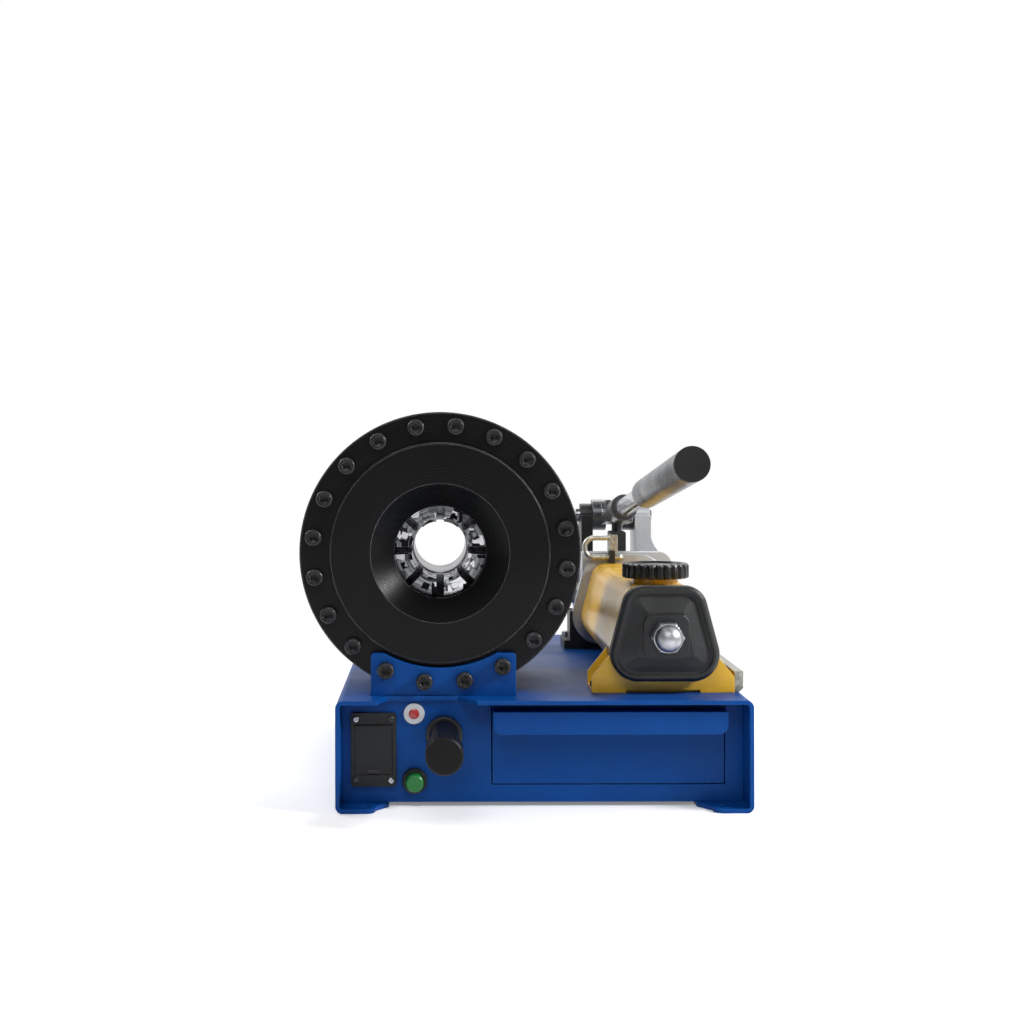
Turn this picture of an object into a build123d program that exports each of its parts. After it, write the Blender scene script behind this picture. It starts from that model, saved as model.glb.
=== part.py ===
from build123d import *
import os
from math import cos, radians, sin, sqrt, tan

# Hose crimping machine: sheet steel base, crimping head, hand pump.
# Millimetres. X to the right, Y to the rear, Z up. The origin is the centre of the
# four foot bolts, on the surface that the machine stands on.
# Depths are measured from the front edge of the base towards the rear.

# ---- base -----------------------------------------------------------------
base_width = 390.0
base_depth = 520.0
base_height = 105.0
sheet = 4.0
bend_radius = 7.0
foot_flange = 45.0          # width of the inward bottom flange
foot_relief = 12.0          # flange is this much narrower at its ends
foot_relief_length = 30.0
foot_relief_straight = 12.0
foot_corner = 9.0
foot_bolt_side = 28.0       # bolt holes from the sides of the base
foot_bolt_inset = 14.0
foot_bolt_d = 9.0
panel_recess = 32.0
plate = 12.0                # front plate that carries the head
rear_sheet = 3.0
top_notch = 28.0            # depth of the cut-out above the controls
notch_left = 60.0           # its corners from the head axis
notch_right = 35.0
notch_slope_left = 10.0
notch_slope_right = 18.0
panel_gap = 0.2

# ---- crimping head ----------------------------------------------------------
head_inset = 98.0           # head axis from the left side of the base
flange_rim = 13.0           # screw circle to the outside of the flange
flange_t = 30.0
barrel_step = 2.0           # barrel is this much smaller all round than the flange
barrel_wall = 28.0
barrel_length = 146.0
rear_wall = 22.0
boss_d = 211.0
boss_h = 9.0
funnel_mouth_d = 133.0
funnel_depth = 22.0
throat_d = 89.0
throat_length = 3.0
screw_ring = 16.5           # boss edge to the screw circle
screw_count = 20
screw_index = 10.9          # degrees of the first screw from +X
screw_head_d = 16.0
screw_head_h = 10.0
screw_d = 10.0
socket_af = 8.0
screw_grip = 20.0           # thread engagement in the barrel
spigot_gap = 0.1
tab_left = 66.0             # tab edges from the head axis
tab_right = 72.0
tab_height = 40.0
tab_corner = 3.0
tab_arc_gap = 3.5
tab_slot_gap = 0.5

# ---- crimping mechanism ------------------------------------------------------
shoe_count = 8
cone_angle = 30.0           # half angle of both cones
shoe_half_length = 40.0
ridge_radius = 98.0         # shoe ridge, fully open
shoe_axial_travel = 14.0
cone_gap = 0.25
end_gap = 1.0
shoe_gap = 1.2              # between neighbours, fully closed
die_radius = 20.3           # crimp radius, fully closed
die_seat_radius = 44.0
die_inset = 2.0             # die ends sit inside the shoe ends
die_mouth = 3.5             # step at the front of the die bore
die_mouth_length = 12.0
die_groove_w = 4.0
die_groove_depth = 1.8
die_groove_count = 3
die_slot_w = 7.0
die_slot_h = 6.5
die_slot_r = 29.5           # middle of the pocket, fully closed
die_slot_depth = 7.0
die_pin_d = 2.6
die_pin_depth = 5.0
guide_bore_d = 54.0
guide_wall = 5.0
guide_collar = 9.0
guide_collar_t = 6.0
port_r = 6.0
head_foot_half = 56.0
head_foot_t = 8.0
head_foot_rise = 24.0
head_foot_length = 40.0
running_gap = 0.05
seal_w = 5.0
seal_depth = 4.0
seal_inset = 12.0

# ---- controls -----------------------------------------------------------------
battery_w = 43.0
battery_h = 69.5
battery_inset = 34.5        # controls from the left side of the base
battery_z = 54.45
bezel_proud = 4.0
battery_wall = 2.0
battery_door_w = 35.4
battery_door_h = 47.6
battery_door_t = 2.4
battery_door_gap = 0.35
battery_depth = 56.0
cell_w = 26.5
cell_t = 17.5
cell_l = 48.5
finger_slot_w = 11.6
finger_slot_h = 4.0
panel_screw_dx = 33.5
panel_screw_dz = 58.0
panel_screw_d = 6.2
lamp_inset = 73.0
lamp_z = 88.0
lamp_bezel_d = 20.0
lamp_lens_d = 10.0
lamp_body_d = 14.0
button_inset = 73.5
button_z = 24.8
button_bezel_d = 24.0
button_cap_d = 17.0
button_cap_proud = 17.0
button_bezel_proud = 7.0
button_travel = 4.0
button_body_d = 20.5
knob_inset = 101.5
knob_z = 68.7
bush_d = 35.0
bush_proud = 10.0
knob_sleeve_d = 28.0
knob_grip_d = 34.0
knob_front = 80.0           # ahead of the front edge of the base
knob_grip_length = 36.0
spindle_d = 10.0
knob_flutes = 24

# ---- drawer ---------------------------------------------------------------------
drawer_side = 22.5          # drawer from the right side of the base
controls_w = 147.5          # panel left of the drawer
drawer_bottom = 21.5
drawer_front_h = 75.0
drawer_sheet = 1.5
drawer_depth = 340.0
drawer_box_h = 64.0
drawer_gap = 1.2
lip_reach = 24.0
lip_drop = 21.0
lip_corner = 9.0
lip_t = 2.0
lip_below_top = 3.5
runner_t = 2.0
runner_ledge = 14.0

# ---- hand pump --------------------------------------------------------------------
pump_inset = 78.0           # pump axis from the right side of the base
reservoir_front = 46.0
reservoir_length = 331.0
reservoir_wall = 3.0
body_half_bottom = 59.6     # end cap section before its corners are rounded
body_half_top = 35.5
body_h = 90.7
body_bottom = 117.8
body_r_bottom = 26.0
body_r_top = 20.0
reservoir_inset = 2.7       # reservoir is this much smaller all round than the cap
cap_t = 16.0
cap_rim = 6.0
cap_dish = 3.0
cap_hip_h = 6.0             # low pyramid inside the rim
cap_hip_taper = 69.0
cap_bevel = 3.0
cap_boss_w = 43.0
cap_boss_h = 40.0
cap_boss_z = 161.5
cap_boss_proud = 8.0
tie_rod_d = 12.0
tie_hex_af = 30.0
tie_hex_h = 12.0
tie_dome_d = 26.0
saddle_half = 68.6
saddle_t = 3.0
saddle_side_h = 15.0
saddle_gap = 0.5
saddle_length = 46.0
saddle_window_w = 71.0
saddle_window_h = 2.5
fill_depth = 100.0
fill_neck_d = 45.0
fill_neck_top = 211.6
fill_bore_d = 30.0
fill_cap_d = 66.0
fill_cap_h = 14.4
fill_flutes = 24
flute_w = 3.6
flute_depth = 2.4
head_plate_t = 12.0
head_outset = 7.0
head_slab_top = 218.0
slab_left = 47.0
slab_right = 58.0
slab_t = 25.0
slab_h = 24.0
slab_corner = 14.0
lug_foot_reach = 63.0       # flared foot of the casting's right lug
lug_foot_t = 7.0
lug_waist_z = 238.0
head_block_length = 118.0
casting_half = 44.0
casting_top = 200.0
foot_t = 10.0
foot_length = 58.0
gland_h = 40.0
release_stem = 14.0
pipe_d = 6.0
pipe_rise = 17.5
hose_d = 16.0
fitting_length = 34.0
pivot_back = 91.0           # lever pivot behind the casting plate
pivot_z = 258.0
pivot_pin_d = 14.0
lug_r = 14.0
lever_angle = 6.4           # rise towards the grip
lever_rod_d = 21.0
lever_grip_d = 31.0
lever_grip_back = 163.0
lever_grip_front = -129.0
plug_t = 6.0
link_arm = 40.0
link_pin_d = 8.0
link_head_half = 9.0        # half width of the plunger head
link_swing_front = 1.2
link_swing_rear = 14.4
link_swing_z = 2.4
link_wall = 4.0
cheek_t = 6.0
cheek_half = 13.0
hub_r = 19.0
hub_core_r = 12.0
socket_reach = 118.0        # socket and rod ends ahead of the pivot
socket_back = 69.0
rod_back = 74.0
plunger_d = 12.0
plunger_bottom = 166.0
side_bar_w = 8.4
side_bar_h = 20.0
side_bar_start = 50.0
side_bar_end = 230.0
side_bar_chamfer = 4.0
side_bar_gap = 0.6

front_y = -base_depth / 2
left_side = -base_width / 2
head_x = left_side + head_inset
battery_x = left_side + battery_inset
lamp_x = left_side + lamp_inset
button_x = left_side + button_inset
knob_x = left_side + knob_inset
drawer_w = base_width - controls_w - drawer_side
drawer_x = base_width / 2 - drawer_side - drawer_w / 2
pump_x = base_width / 2 - pump_inset
screw_circle = boss_d + 2 * screw_ring
flange_d = screw_circle + 2 * flange_rim
barrel_d = flange_d - 2 * barrel_step
barrel_bore = barrel_d - 2 * barrel_wall
pivot_depth = reservoir_front + reservoir_length + head_plate_t + pivot_back
socket_start = pivot_depth - socket_reach
socket_end = pivot_depth - socket_back
rod_end = pivot_depth - rod_back
head_z = base_height + flange_d / 2
flange_face = panel_recess + plate
barrel_front = flange_face + flange_t
barrel_back = barrel_front + barrel_length
head_back = barrel_back + rear_wall
shoe_radial_travel = shoe_axial_travel * tan(radians(cone_angle))
ridge_closed_r = ridge_radius - shoe_radial_travel
chamber_front = flange_face - boss_h + funnel_depth + throat_length
ridge_closed = chamber_front + end_gap + shoe_half_length
ridge_open = ridge_closed + shoe_axial_travel
piston_travel = 2 * shoe_axial_travel

# FRONT looks at the machine from the front: x to the right, y up, z towards the viewer.
FRONT = Plane(origin=(0, front_y, 0), x_dir=(1, 0, 0), z_dir=(0, -1, 0))
HEAD = Plane(origin=(head_x, front_y, head_z), x_dir=(1, 0, 0), z_dir=(0, -1, 0))


def front_at(x, z, depth=0.0):
    """A front view plane centred at x, z and the given depth."""
    return Plane(origin=(x, front_y + depth, z), x_dir=(1, 0, 0), z_dir=(0, -1, 0))


def block(x0, x1, depth0, depth1, z0, z1):
    """A box given by its limits in x, depth and z."""
    centre = Pos((x0 + x1) / 2, front_y + (depth0 + depth1) / 2, (z0 + z1) / 2)
    return centre * Box(x1 - x0, depth1 - depth0, z1 - z0)


def slab(face, depth0, depth1):
    """A front view face, thickened from one depth to another."""
    return extrude(FRONT * (Pos(0, 0, -depth1) * face), depth1 - depth0)


def turned(points, place):
    """A solid of revolution from (radius, depth) points about the axis of a front plane."""
    profile = make_face(Polyline(*[(r, -depth) for r, depth in points], close=True))
    return place * revolve(Plane.XZ * profile, Axis.Z)


def rod_y(x, z, radius, depth0, depth1):
    """A round bar along Y."""
    return front_at(x, z, depth1) * extrude(Circle(radius), depth1 - depth0)


def rod_x(depth, z, radius, x0, x1):
    """A round bar along X."""
    place = Plane(origin=(x0, front_y + depth, z), x_dir=(0, 1, 0), z_dir=(1, 0, 0))
    return place * extrude(Circle(radius), x1 - x0)


def rod_z(x, depth, radius, z0, z1):
    """A round bar along Z."""
    return Pos(x, front_y + depth, z0) * extrude(Circle(radius), z1 - z0)


def hexagon(across_flats):
    return RegularPolygon(across_flats / sqrt(3), 6)


def screw_angles():
    return [screw_index + 360.0 / screw_count * k for k in range(screw_count)]


def screw_points():
    """Screw centres in the head's front view."""
    r = screw_circle / 2
    return [(r * cos(radians(a)), r * sin(radians(a))) for a in screw_angles()]


def on_tab(point):
    """True for the screws that pass through the tab of the front plate."""
    return point[1] < -screw_circle / 2 * 0.8 and -tab_left < point[0] < tab_right


# ---- base ----------------------------------------------------------------------------
def foot_relief_outline():
    """Cut-out at the end of the bottom flanges, which leaves feet with rounded corners."""
    inner = base_width / 2 - foot_flange - sheet
    wide = inner + foot_relief
    out = 2 * foot_corner
    right = [(wide + out, out), (wide + out, 0), (wide, 0), (wide, -foot_relief_straight)]
    right.append((inner - 1, -foot_relief_length))
    left = [(-x, y) for x, y in reversed(right)]
    outline = make_face(Polyline(*right, *left, close=True))
    corners = [v for v in outline.vertices() if abs(abs(v.X) - wide) < 0.01]
    return fillet(corners, foot_corner)


def base_wrap():
    outer = Pos(0, base_height / 2) * RectangleRounded(base_width, base_height, bend_radius)
    inner = Pos(0, base_height / 2) * RectangleRounded(
        base_width - 2 * sheet, base_height - 2 * sheet, bend_radius - sheet
    )
    gap = Pos(0, sheet / 2) * Rectangle(base_width - 2 * foot_flange - 2 * sheet, 2 * sheet)
    wrap = slab(outer - inner - gap, 0, base_depth)
    relief = extrude(foot_relief_outline(), 2 * sheet)
    hole = extrude(Circle(foot_bolt_d / 2), 4 * sheet)
    hole_y = base_depth / 2 - foot_bolt_inset
    for end in (-1, 1):
        wrap -= Pos(0, end * base_depth / 2, -sheet / 2) * Rot(0, 0, 90 - 90 * end) * relief
        for side in (-1, 1):
            hole_x = base_width / 2 - foot_bolt_side
            wrap -= Pos(side * hole_x, end * hole_y, -sheet) * hole
    notch = make_face(
        Polyline(
            (head_x - notch_left, -1),
            (head_x - notch_left + notch_slope_left, top_notch),
            (head_x + notch_right - notch_slope_right, top_notch),
            (head_x + notch_right, -1),
            close=True,
        )
    )
    wrap -= Pos(0, front_y, base_height - 2 * sheet) * extrude(notch, 4 * sheet)
    wrap -= block(
        head_x - tab_left - tab_slot_gap,
        head_x + tab_right + tab_slot_gap,
        panel_recess - tab_slot_gap,
        flange_face + tab_slot_gap,
        base_height - 2 * sheet,
        base_height + sheet,
    )
    back = base_depth - panel_recess
    rear = Pos(0, base_height / 2) * Rectangle(base_width - sheet, base_height - sheet)
    return wrap + slab(rear & outer, back - rear_sheet, back)


def panel_blank(top):
    w = base_width - 2 * sheet - 2 * panel_gap
    corner = bend_radius - sheet + 0.5
    return Pos(0, (sheet + top) / 2) * RectangleRounded(w, top - sheet, corner)


def front_plate():
    blank = panel_blank(base_height - sheet)
    tab_base = base_height - 3 * sheet
    tab_top = base_height + tab_height
    tab = Pos(head_x + (tab_right - tab_left) / 2, (tab_base + tab_top) / 2) * Rectangle(
        tab_left + tab_right, tab_top - tab_base
    )
    tab = fillet(tab.vertices().group_by(Axis.Y)[-1], tab_corner)
    shape = slab(blank + tab, panel_recess, flange_face)
    shape -= turned(
        [
            (0, panel_recess - 1),
            (boss_d / 2 + tab_arc_gap, panel_recess - 1),
            (boss_d / 2 + tab_arc_gap, flange_face + 1),
            (0, flange_face + 1),
        ],
        HEAD,
    )
    for x, z in screw_points():
        if on_tab((x, z)):
            shape -= rod_y(head_x + x, head_z + z, screw_d / 2 + 0.5, 0, flange_face + 1)
    opening_w = drawer_w + 2 * drawer_gap
    opening_h = drawer_front_h + 2 * drawer_gap
    centre_z = drawer_bottom + drawer_front_h / 2
    opening = Pos(drawer_x, centre_z) * Rectangle(opening_w, opening_h)
    shape -= slab(opening, panel_recess - 1, flange_face + 1)
    case = Pos(battery_x, battery_z) * Rectangle(
        battery_door_w + 2 * battery_wall + 1, battery_door_h + 2 * battery_wall + 1
    )
    shape -= slab(case, panel_recess - 1, flange_face + 1)
    for x, z, d in (
        (lamp_x, lamp_z, lamp_body_d),
        (button_x, button_z, button_body_d),
        (knob_x, knob_z, bush_d - 12),
    ):
        shape -= rod_y(x, z, d / 2 + running_gap, 0, flange_face + 1)
    for side in (-1, 1):
        for end in (-1, 1):
            x = battery_x + side * panel_screw_dx / 2
            z = battery_z + end * panel_screw_dz / 2
            shape -= rod_y(x, z, 1.5 + running_gap, panel_recess - 1, panel_recess + 9)
    return shape


def drawer_runners():
    """Two L rails that hang from the top plate on each side of the drawer."""
    web_top = base_height - sheet
    ledge_top = drawer_bottom - 0.3
    edge = drawer_w / 2 + drawer_gap
    rails = []
    for side in (-1, 1):
        x0 = drawer_x + side * edge
        x1 = x0 + side * runner_t
        x2 = x0 - side * runner_ledge
        back = flange_face + drawer_depth - 10
        web = block(min(x0, x1), max(x0, x1), flange_face, back, ledge_top - runner_t, web_top)
        ledge = block(
            min(x1, x2), max(x1, x2), flange_face, back, ledge_top - runner_t, ledge_top
        )
        rails.append(web + ledge)
    return rails


# ---- crimping head ------------------------------------------------------------------------
def cap_cone_r(depth):
    """Radius of the cone in the front flange."""
    return ridge_closed_r + cone_gap - (ridge_closed - depth) * tan(radians(cone_angle))


def front_flange():
    face = flange_face
    cone_end = ridge_closed - end_gap / 2
    spigot = barrel_bore / 2 - spigot_gap
    edge = 1.0
    body = turned(
        [
            (funnel_mouth_d / 2, face - boss_h),
            (boss_d / 2 - edge, face - boss_h),
            (boss_d / 2, face - boss_h + edge),
            (boss_d / 2, face),
            (flange_d / 2 - edge, face),
            (flange_d / 2, face + edge),
            (flange_d / 2, barrel_front),
            (spigot, barrel_front),
            (spigot, cone_end),
            (cap_cone_r(cone_end), cone_end),
            (cap_cone_r(chamber_front), chamber_front),
            (throat_d / 2, chamber_front),
            (throat_d / 2, chamber_front - throat_length),
        ],
        HEAD,
    )
    for x, z in screw_points():
        body -= rod_y(head_x + x, head_z + z, screw_d / 2 + 0.5, face - 1, barrel_front + 1)
    return body


def cylinder_barrel():
    """Pot shaped cylinder, closed at the rear apart from the hole for the guide tube."""
    bore = barrel_bore / 2
    tube = guide_bore_d / 2 + guide_wall
    body = turned(
        [
            (bore, barrel_front),
            (barrel_d / 2, barrel_front),
            (barrel_d / 2, head_back - 2),
            (barrel_d / 2 - 2, head_back),
            (tube, head_back),
            (tube, barrel_back),
            (bore, barrel_back),
        ],
        HEAD,
    )
    for x, z in screw_points():
        r = screw_d / 2 + running_gap
        body -= rod_y(head_x + x, head_z + z, r, barrel_front - 1, barrel_front + screw_grip + 2)
    px, pz = port_point()
    body -= rod_y(head_x + px, head_z + pz, port_r + running_gap, barrel_back - 1, head_back + 1)
    return body


def guide_front():
    """Front end of the fixed guide tube, clear of the closed shoes."""
    return ridge_open + shoe_half_length + end_gap


def port_point():
    """Pressure port in the rear wall, in the head's front view."""
    return (50.0, -76.0)


def guide_tube():
    """Sleeve that guides the piston and leaves the way through for the hose."""
    inner = guide_bore_d / 2
    outer = inner + guide_wall
    collar = outer + guide_collar
    return turned(
        [
            (inner, guide_front()),
            (outer, guide_front()),
            (outer, head_back),
            (collar, head_back),
            (collar, head_back + guide_collar_t - 1),
            (collar - 1, head_back + guide_collar_t),
            (inner, head_back + guide_collar_t),
        ],
        HEAD,
    )


def socket_screw(x, z, seat, length):
    """A socket head screw along Y with its head to the front."""
    screw = rod_y(x, z, screw_head_d / 2, seat - screw_head_h, seat)
    screw += rod_y(x, z, screw_d / 2, seat, seat + length)
    bottom = seat - screw_head_h / 2
    return screw - front_at(x, z, bottom) * extrude(hexagon(socket_af), screw_head_h)


def flange_screws():
    screws = []
    for x, z in screw_points():
        seat = panel_recess if on_tab((x, z)) else flange_face
        length = barrel_front + screw_grip - seat
        screws.append(socket_screw(head_x + x, head_z + z, seat, length))
    return screws


def head_foot():
    """Angle foot that carries the rear of the head on the top plate."""
    back = head_back + head_foot_length
    left = head_x - head_foot_half
    right = head_x + head_foot_half
    low = base_height
    shape = block(left, right, head_back, head_back + head_foot_t, low, low + head_foot_rise)
    shape += block(left, right, head_back, back, low, low + head_foot_t)
    shape -= rod_y(head_x, head_z, barrel_d / 2 - 20, head_back - 1, back + 1)
    return shape


# ---- crimping mechanism ---------------------------------------------------------------------
def piston_cone_r(depth):
    """Radius of the piston's cone with the piston fully back."""
    return ridge_radius + cone_gap - (depth - ridge_open) * tan(radians(cone_angle))


def piston_profile():
    rim = ridge_closed + end_gap / 2 + piston_travel
    wall = ridge_open + shoe_half_length + shoe_axial_travel + end_gap
    outer = barrel_bore / 2 - running_gap
    bore = guide_bore_d / 2 + guide_wall + running_gap
    back = barrel_back - end_gap
    return rim, wall, outer, bore, back


def piston():
    rim, wall, outer, bore, back = piston_profile()
    points = [
        (piston_cone_r(rim), rim),
        (outer, rim),
        (outer, back),
        (bore, back),
        (bore, wall),
        (piston_cone_r(wall), wall),
    ]
    groove = back - seal_inset
    points[2:2] = [
        (outer, groove - seal_w),
        (outer - seal_depth, groove - seal_w),
        (outer - seal_depth, groove),
        (outer, groove),
    ]
    return turned(points, HEAD)


def piston_seal():
    outer, back = piston_profile()[2], piston_profile()[4]
    groove = back - seal_inset
    ring = [
        (outer - seal_depth, groove - seal_w),
        (outer, groove - seal_w),
        (outer, groove),
        (outer - seal_depth, groove),
    ]
    return turned(ring, HEAD)


def shoe_angle(k):
    return 360.0 / shoe_count * (k + 0.5)


def sector(k, closed):
    """Cuts a closed-state ring down to one sector and moves it to its open place."""
    half = radians(180.0 / shoe_count)
    start = shoe_gap / 2 / sin(half)
    reach = 2 * ridge_radius
    wedge = make_face(
        Polyline(
            (start, 0),
            (start + reach * cos(half), reach * sin(half)),
            (start + reach * cos(half), -reach * sin(half)),
            close=True,
        )
    )
    tool = HEAD * (Pos(0, 0, -head_back) * extrude(wedge, head_back))
    return tool & closed


def open_place(k, piece):
    """Turns the sector at angle zero to its own angle and backs it off to the open state."""
    a = radians(shoe_angle(k))
    turn = HEAD.location * Rot(0, 0, shoe_angle(k)) * HEAD.location.inverse()
    shift = Pos(
        shoe_radial_travel * cos(a), shoe_axial_travel, shoe_radial_travel * sin(a)
    )
    return shift * (turn * piece)


def shoe_blank():
    low = ridge_closed - shoe_half_length
    high = ridge_closed + shoe_half_length
    end_r = ridge_closed_r - shoe_half_length * tan(radians(cone_angle))
    ring = turned(
        [
            (die_seat_radius, low),
            (end_r, low),
            (ridge_closed_r, ridge_closed),
            (end_r, high),
            (die_seat_radius, high),
        ],
        HEAD,
    )
    return sector(0, ring)


def die_blank():
    low = ridge_closed - shoe_half_length + die_inset
    high = ridge_closed + shoe_half_length - die_inset
    mouth = low + die_mouth_length
    pitch = (high - mouth) / (die_groove_count + 1)
    points = [(die_seat_radius, high), (die_seat_radius, low), (die_radius + die_mouth, low)]
    points += [(die_radius + die_mouth, mouth), (die_radius, mouth)]
    for n in range(die_groove_count):
        start = mouth + pitch * (n + 1) - die_groove_w / 2
        points += [(die_radius, start), (die_radius + die_groove_depth, start)]
        points += [
            (die_radius + die_groove_depth, start + die_groove_w),
            (die_radius, start + die_groove_w),
        ]
    points.append((die_radius, high))
    piece = sector(0, turned(points, HEAD))
    slot = block(
        head_x + die_slot_r - die_slot_h / 2,
        head_x + die_slot_r + die_slot_h / 2,
        low - 1,
        low + die_slot_depth,
        head_z - die_slot_w / 2,
        head_z + die_slot_w / 2,
    )
    piece -= slot
    for land in (1.5, 2.5):
        pin_end = head_x + die_radius + die_pin_depth
        piece -= rod_x(mouth + pitch * land, head_z, die_pin_d / 2, head_x + die_radius - 1, pin_end)
    return piece


# ---- controls -----------------------------------------------------------------------------
def battery_housing():
    face = panel_recess - bezel_proud
    bezel = Pos(battery_x, battery_z) * RectangleRounded(battery_w, battery_h, 3)
    opening_w = battery_door_w + 2 * battery_door_gap
    opening_h = battery_door_h + 2 * battery_door_gap
    window = Pos(battery_x, battery_z) * Rectangle(opening_w, opening_h)
    shape = slab(bezel, face, panel_recess)
    case_w = battery_door_w + 2 * battery_wall
    case_h = battery_door_h + 2 * battery_wall
    case = Pos(battery_x, battery_z) * Rectangle(case_w, case_h)
    shape += slab(case, panel_recess, face + battery_depth)
    shape -= slab(window, face - 1, face + battery_depth - battery_wall)
    for side in (-1, 1):
        for end in (-1, 1):
            x = battery_x + side * panel_screw_dx / 2
            z = battery_z + end * panel_screw_dz / 2
            shape -= rod_y(x, z, 1.5 + running_gap, face - 1, panel_recess + 1)
    hinge_z = battery_hinge()[1]
    hinge_depth = battery_hinge()[0]
    reach = opening_w / 2 + battery_wall - 0.5
    shape -= rod_x(hinge_depth, hinge_z, 0.8 + running_gap, battery_x - reach, battery_x + reach)
    return shape


def battery_hinge():
    """Depth and height of the battery door's hinge axis."""
    face = panel_recess - bezel_proud
    return face + battery_door_t / 2 + 0.6, battery_z + battery_door_h / 2 - 1.6


def battery_door():
    face = panel_recess - bezel_proud + 0.6
    leaf = Pos(battery_x, battery_z) * Rectangle(battery_door_w, battery_door_h)
    shape = slab(leaf, face, face + battery_door_t)
    depth, z = battery_hinge()
    half_t = battery_door_t / 2
    corner = block(
        battery_x - battery_w, battery_x + battery_w, face - 1, face + battery_door_t + 1, z, z + 5
    )
    shape -= corner
    shape += rod_x(depth, z, half_t, battery_x - battery_door_w / 2, battery_x + battery_door_w / 2)
    reach = battery_door_w / 2 + battery_door_gap + 1.2
    shape += rod_x(depth, z, 0.8, battery_x - reach, battery_x + reach)
    low = battery_z - battery_door_h / 2
    slot = block(
        battery_x - finger_slot_w / 2,
        battery_x + finger_slot_w / 2,
        face - 1,
        face + battery_door_t + 1,
        low - 1,
        low + finger_slot_h,
    )
    return shape - slot


def battery_cells():
    front = panel_recess - bezel_proud + 0.6 + battery_door_t + 1.0
    low = battery_z - battery_door_h / 2 - battery_door_gap
    cells = []
    for n in range(2):
        z0 = low + n * cell_t
        cell = block(
            battery_x - cell_w / 2, battery_x + cell_w / 2, front, front + cell_l - 2, z0, z0 + cell_t
        )
        for side in (-1, 1):
            x = battery_x + side * 6.35
            cell += rod_y(x, z0 + cell_t / 2, 3, front + cell_l - 2, front + cell_l)
        cells.append(cell)
    return cells


def panel_screws():
    screws = []
    face = panel_recess - bezel_proud
    for side in (-1, 1):
        for end in (-1, 1):
            x = battery_x + side * panel_screw_dx / 2
            z = battery_z + end * panel_screw_dz / 2
            screw = rod_y(x, z, panel_screw_d / 2, face - 2, face)
            screw += rod_y(x, z, 1.5, face, panel_recess + 8)
            screws.append(screw)
    return screws


def indicator_bezel():
    place = front_at(lamp_x, lamp_z)
    r = lamp_lens_d / 2
    face = panel_recess - 2
    return turned(
        [
            (r, face),
            (lamp_bezel_d / 2 - 0.6, face),
            (lamp_bezel_d / 2, face + 0.6),
            (lamp_bezel_d / 2, panel_recess),
            (lamp_body_d / 2, panel_recess),
            (lamp_body_d / 2, flange_face + 14),
            (0, flange_face + 14),
            (0, panel_recess + 4),
            (r, panel_recess + 4),
        ],
        place,
    )


def indicator_lens():
    place = front_at(lamp_x, lamp_z)
    r = lamp_lens_d / 2
    face = panel_recess - 2
    return turned(
        [(0, face - 1.2), (r - 1.4, face - 0.8), (r, face), (r, face + 6), (0, face + 6)], place
    )


def button_body():
    place = front_at(button_x, button_z)
    bore = button_cap_d / 2 + running_gap
    face = panel_recess - button_bezel_proud
    back = flange_face + 26
    return turned(
        [
            (bore, face),
            (button_bezel_d / 2 - 1, face),
            (button_bezel_d / 2, face + 1.5),
            (button_bezel_d / 2, panel_recess),
            (button_body_d / 2, panel_recess),
            (button_body_d / 2, back),
            (0, back),
            (0, back - 6),
            (bore, back - 6),
        ],
        place,
    )


def button_cap():
    place = front_at(button_x, button_z)
    r = button_cap_d / 2
    face = panel_recess - button_cap_proud
    tail = panel_recess + 8
    return turned(
        [
            (0, face),
            (r - 1.5, face),
            (r, face + 1.5),
            (r, tail),
            (3, tail),
            (3, flange_face + 20 - button_travel - 1),
            (0, flange_face + 20 - button_travel - 1),
        ],
        place,
    )


def knob_bush():
    place = front_at(knob_x, knob_z)
    bore = spindle_d / 2 + running_gap
    face = panel_recess - bush_proud
    shank = bush_d / 2 - 6
    return turned(
        [
            (bore, face),
            (bush_d / 2 - 1, face),
            (bush_d / 2, face + 1),
            (bush_d / 2, panel_recess),
            (shank, panel_recess),
            (shank, flange_face + 8),
            (bore, flange_face + 8),
        ],
        place,
    )


def diameter_knob():
    place = front_at(knob_x, knob_z)
    bore = spindle_d / 2 + running_gap
    grip = knob_grip_d / 2
    sleeve = knob_sleeve_d / 2
    back = panel_recess - bush_proud - 0.3
    step = -knob_front + knob_grip_length
    knob = turned(
        [
            (0, -knob_front),
            (grip - 1.5, -knob_front),
            (grip, 1.5 - knob_front),
            (grip, step - 1.5),
            (grip - 1.5, step),
            (sleeve, step),
            (sleeve, back),
            (bore, back),
            (bore, 16 - knob_front),
            (0, 16 - knob_front),
        ],
        place,
    )
    notches = [
        Rot(0, 0, 360.0 / knob_flutes * n) * Pos(grip, 0, 0) * Rectangle(1.2, 1.6)
        for n in range(knob_flutes)
    ]
    start = front_at(knob_x, knob_z, step + 1)
    return knob - start * extrude(Sketch() + notches, knob_grip_length - 4)


def stop_spindle():
    place = front_at(knob_x, knob_z)
    r = spindle_d / 2
    tip = flange_face + 34
    return turned(
        [(0, 30 - knob_front), (r, 30 - knob_front), (r, tip), (9, tip), (9, tip + 4), (0, tip + 4)],
        place,
    )


def limit_switch():
    """Micro switch on a bracket under the top plate, behind the stop spindle."""
    front = flange_face + 34 + 4 + 13
    top = base_height - sheet
    shape = block(knob_x - 10, knob_x + 10, front, front + 10, knob_z - 14, knob_z + 14)
    shape += rod_y(knob_x, knob_z, 2.5, front - 2, front)
    bracket = block(knob_x - 12, knob_x + 12, front + 10, front + 12, knob_z - 16, top)
    bracket += block(knob_x - 12, knob_x + 12, front + 10, front + 30, top - 2, top)
    return [shape, bracket]


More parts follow.
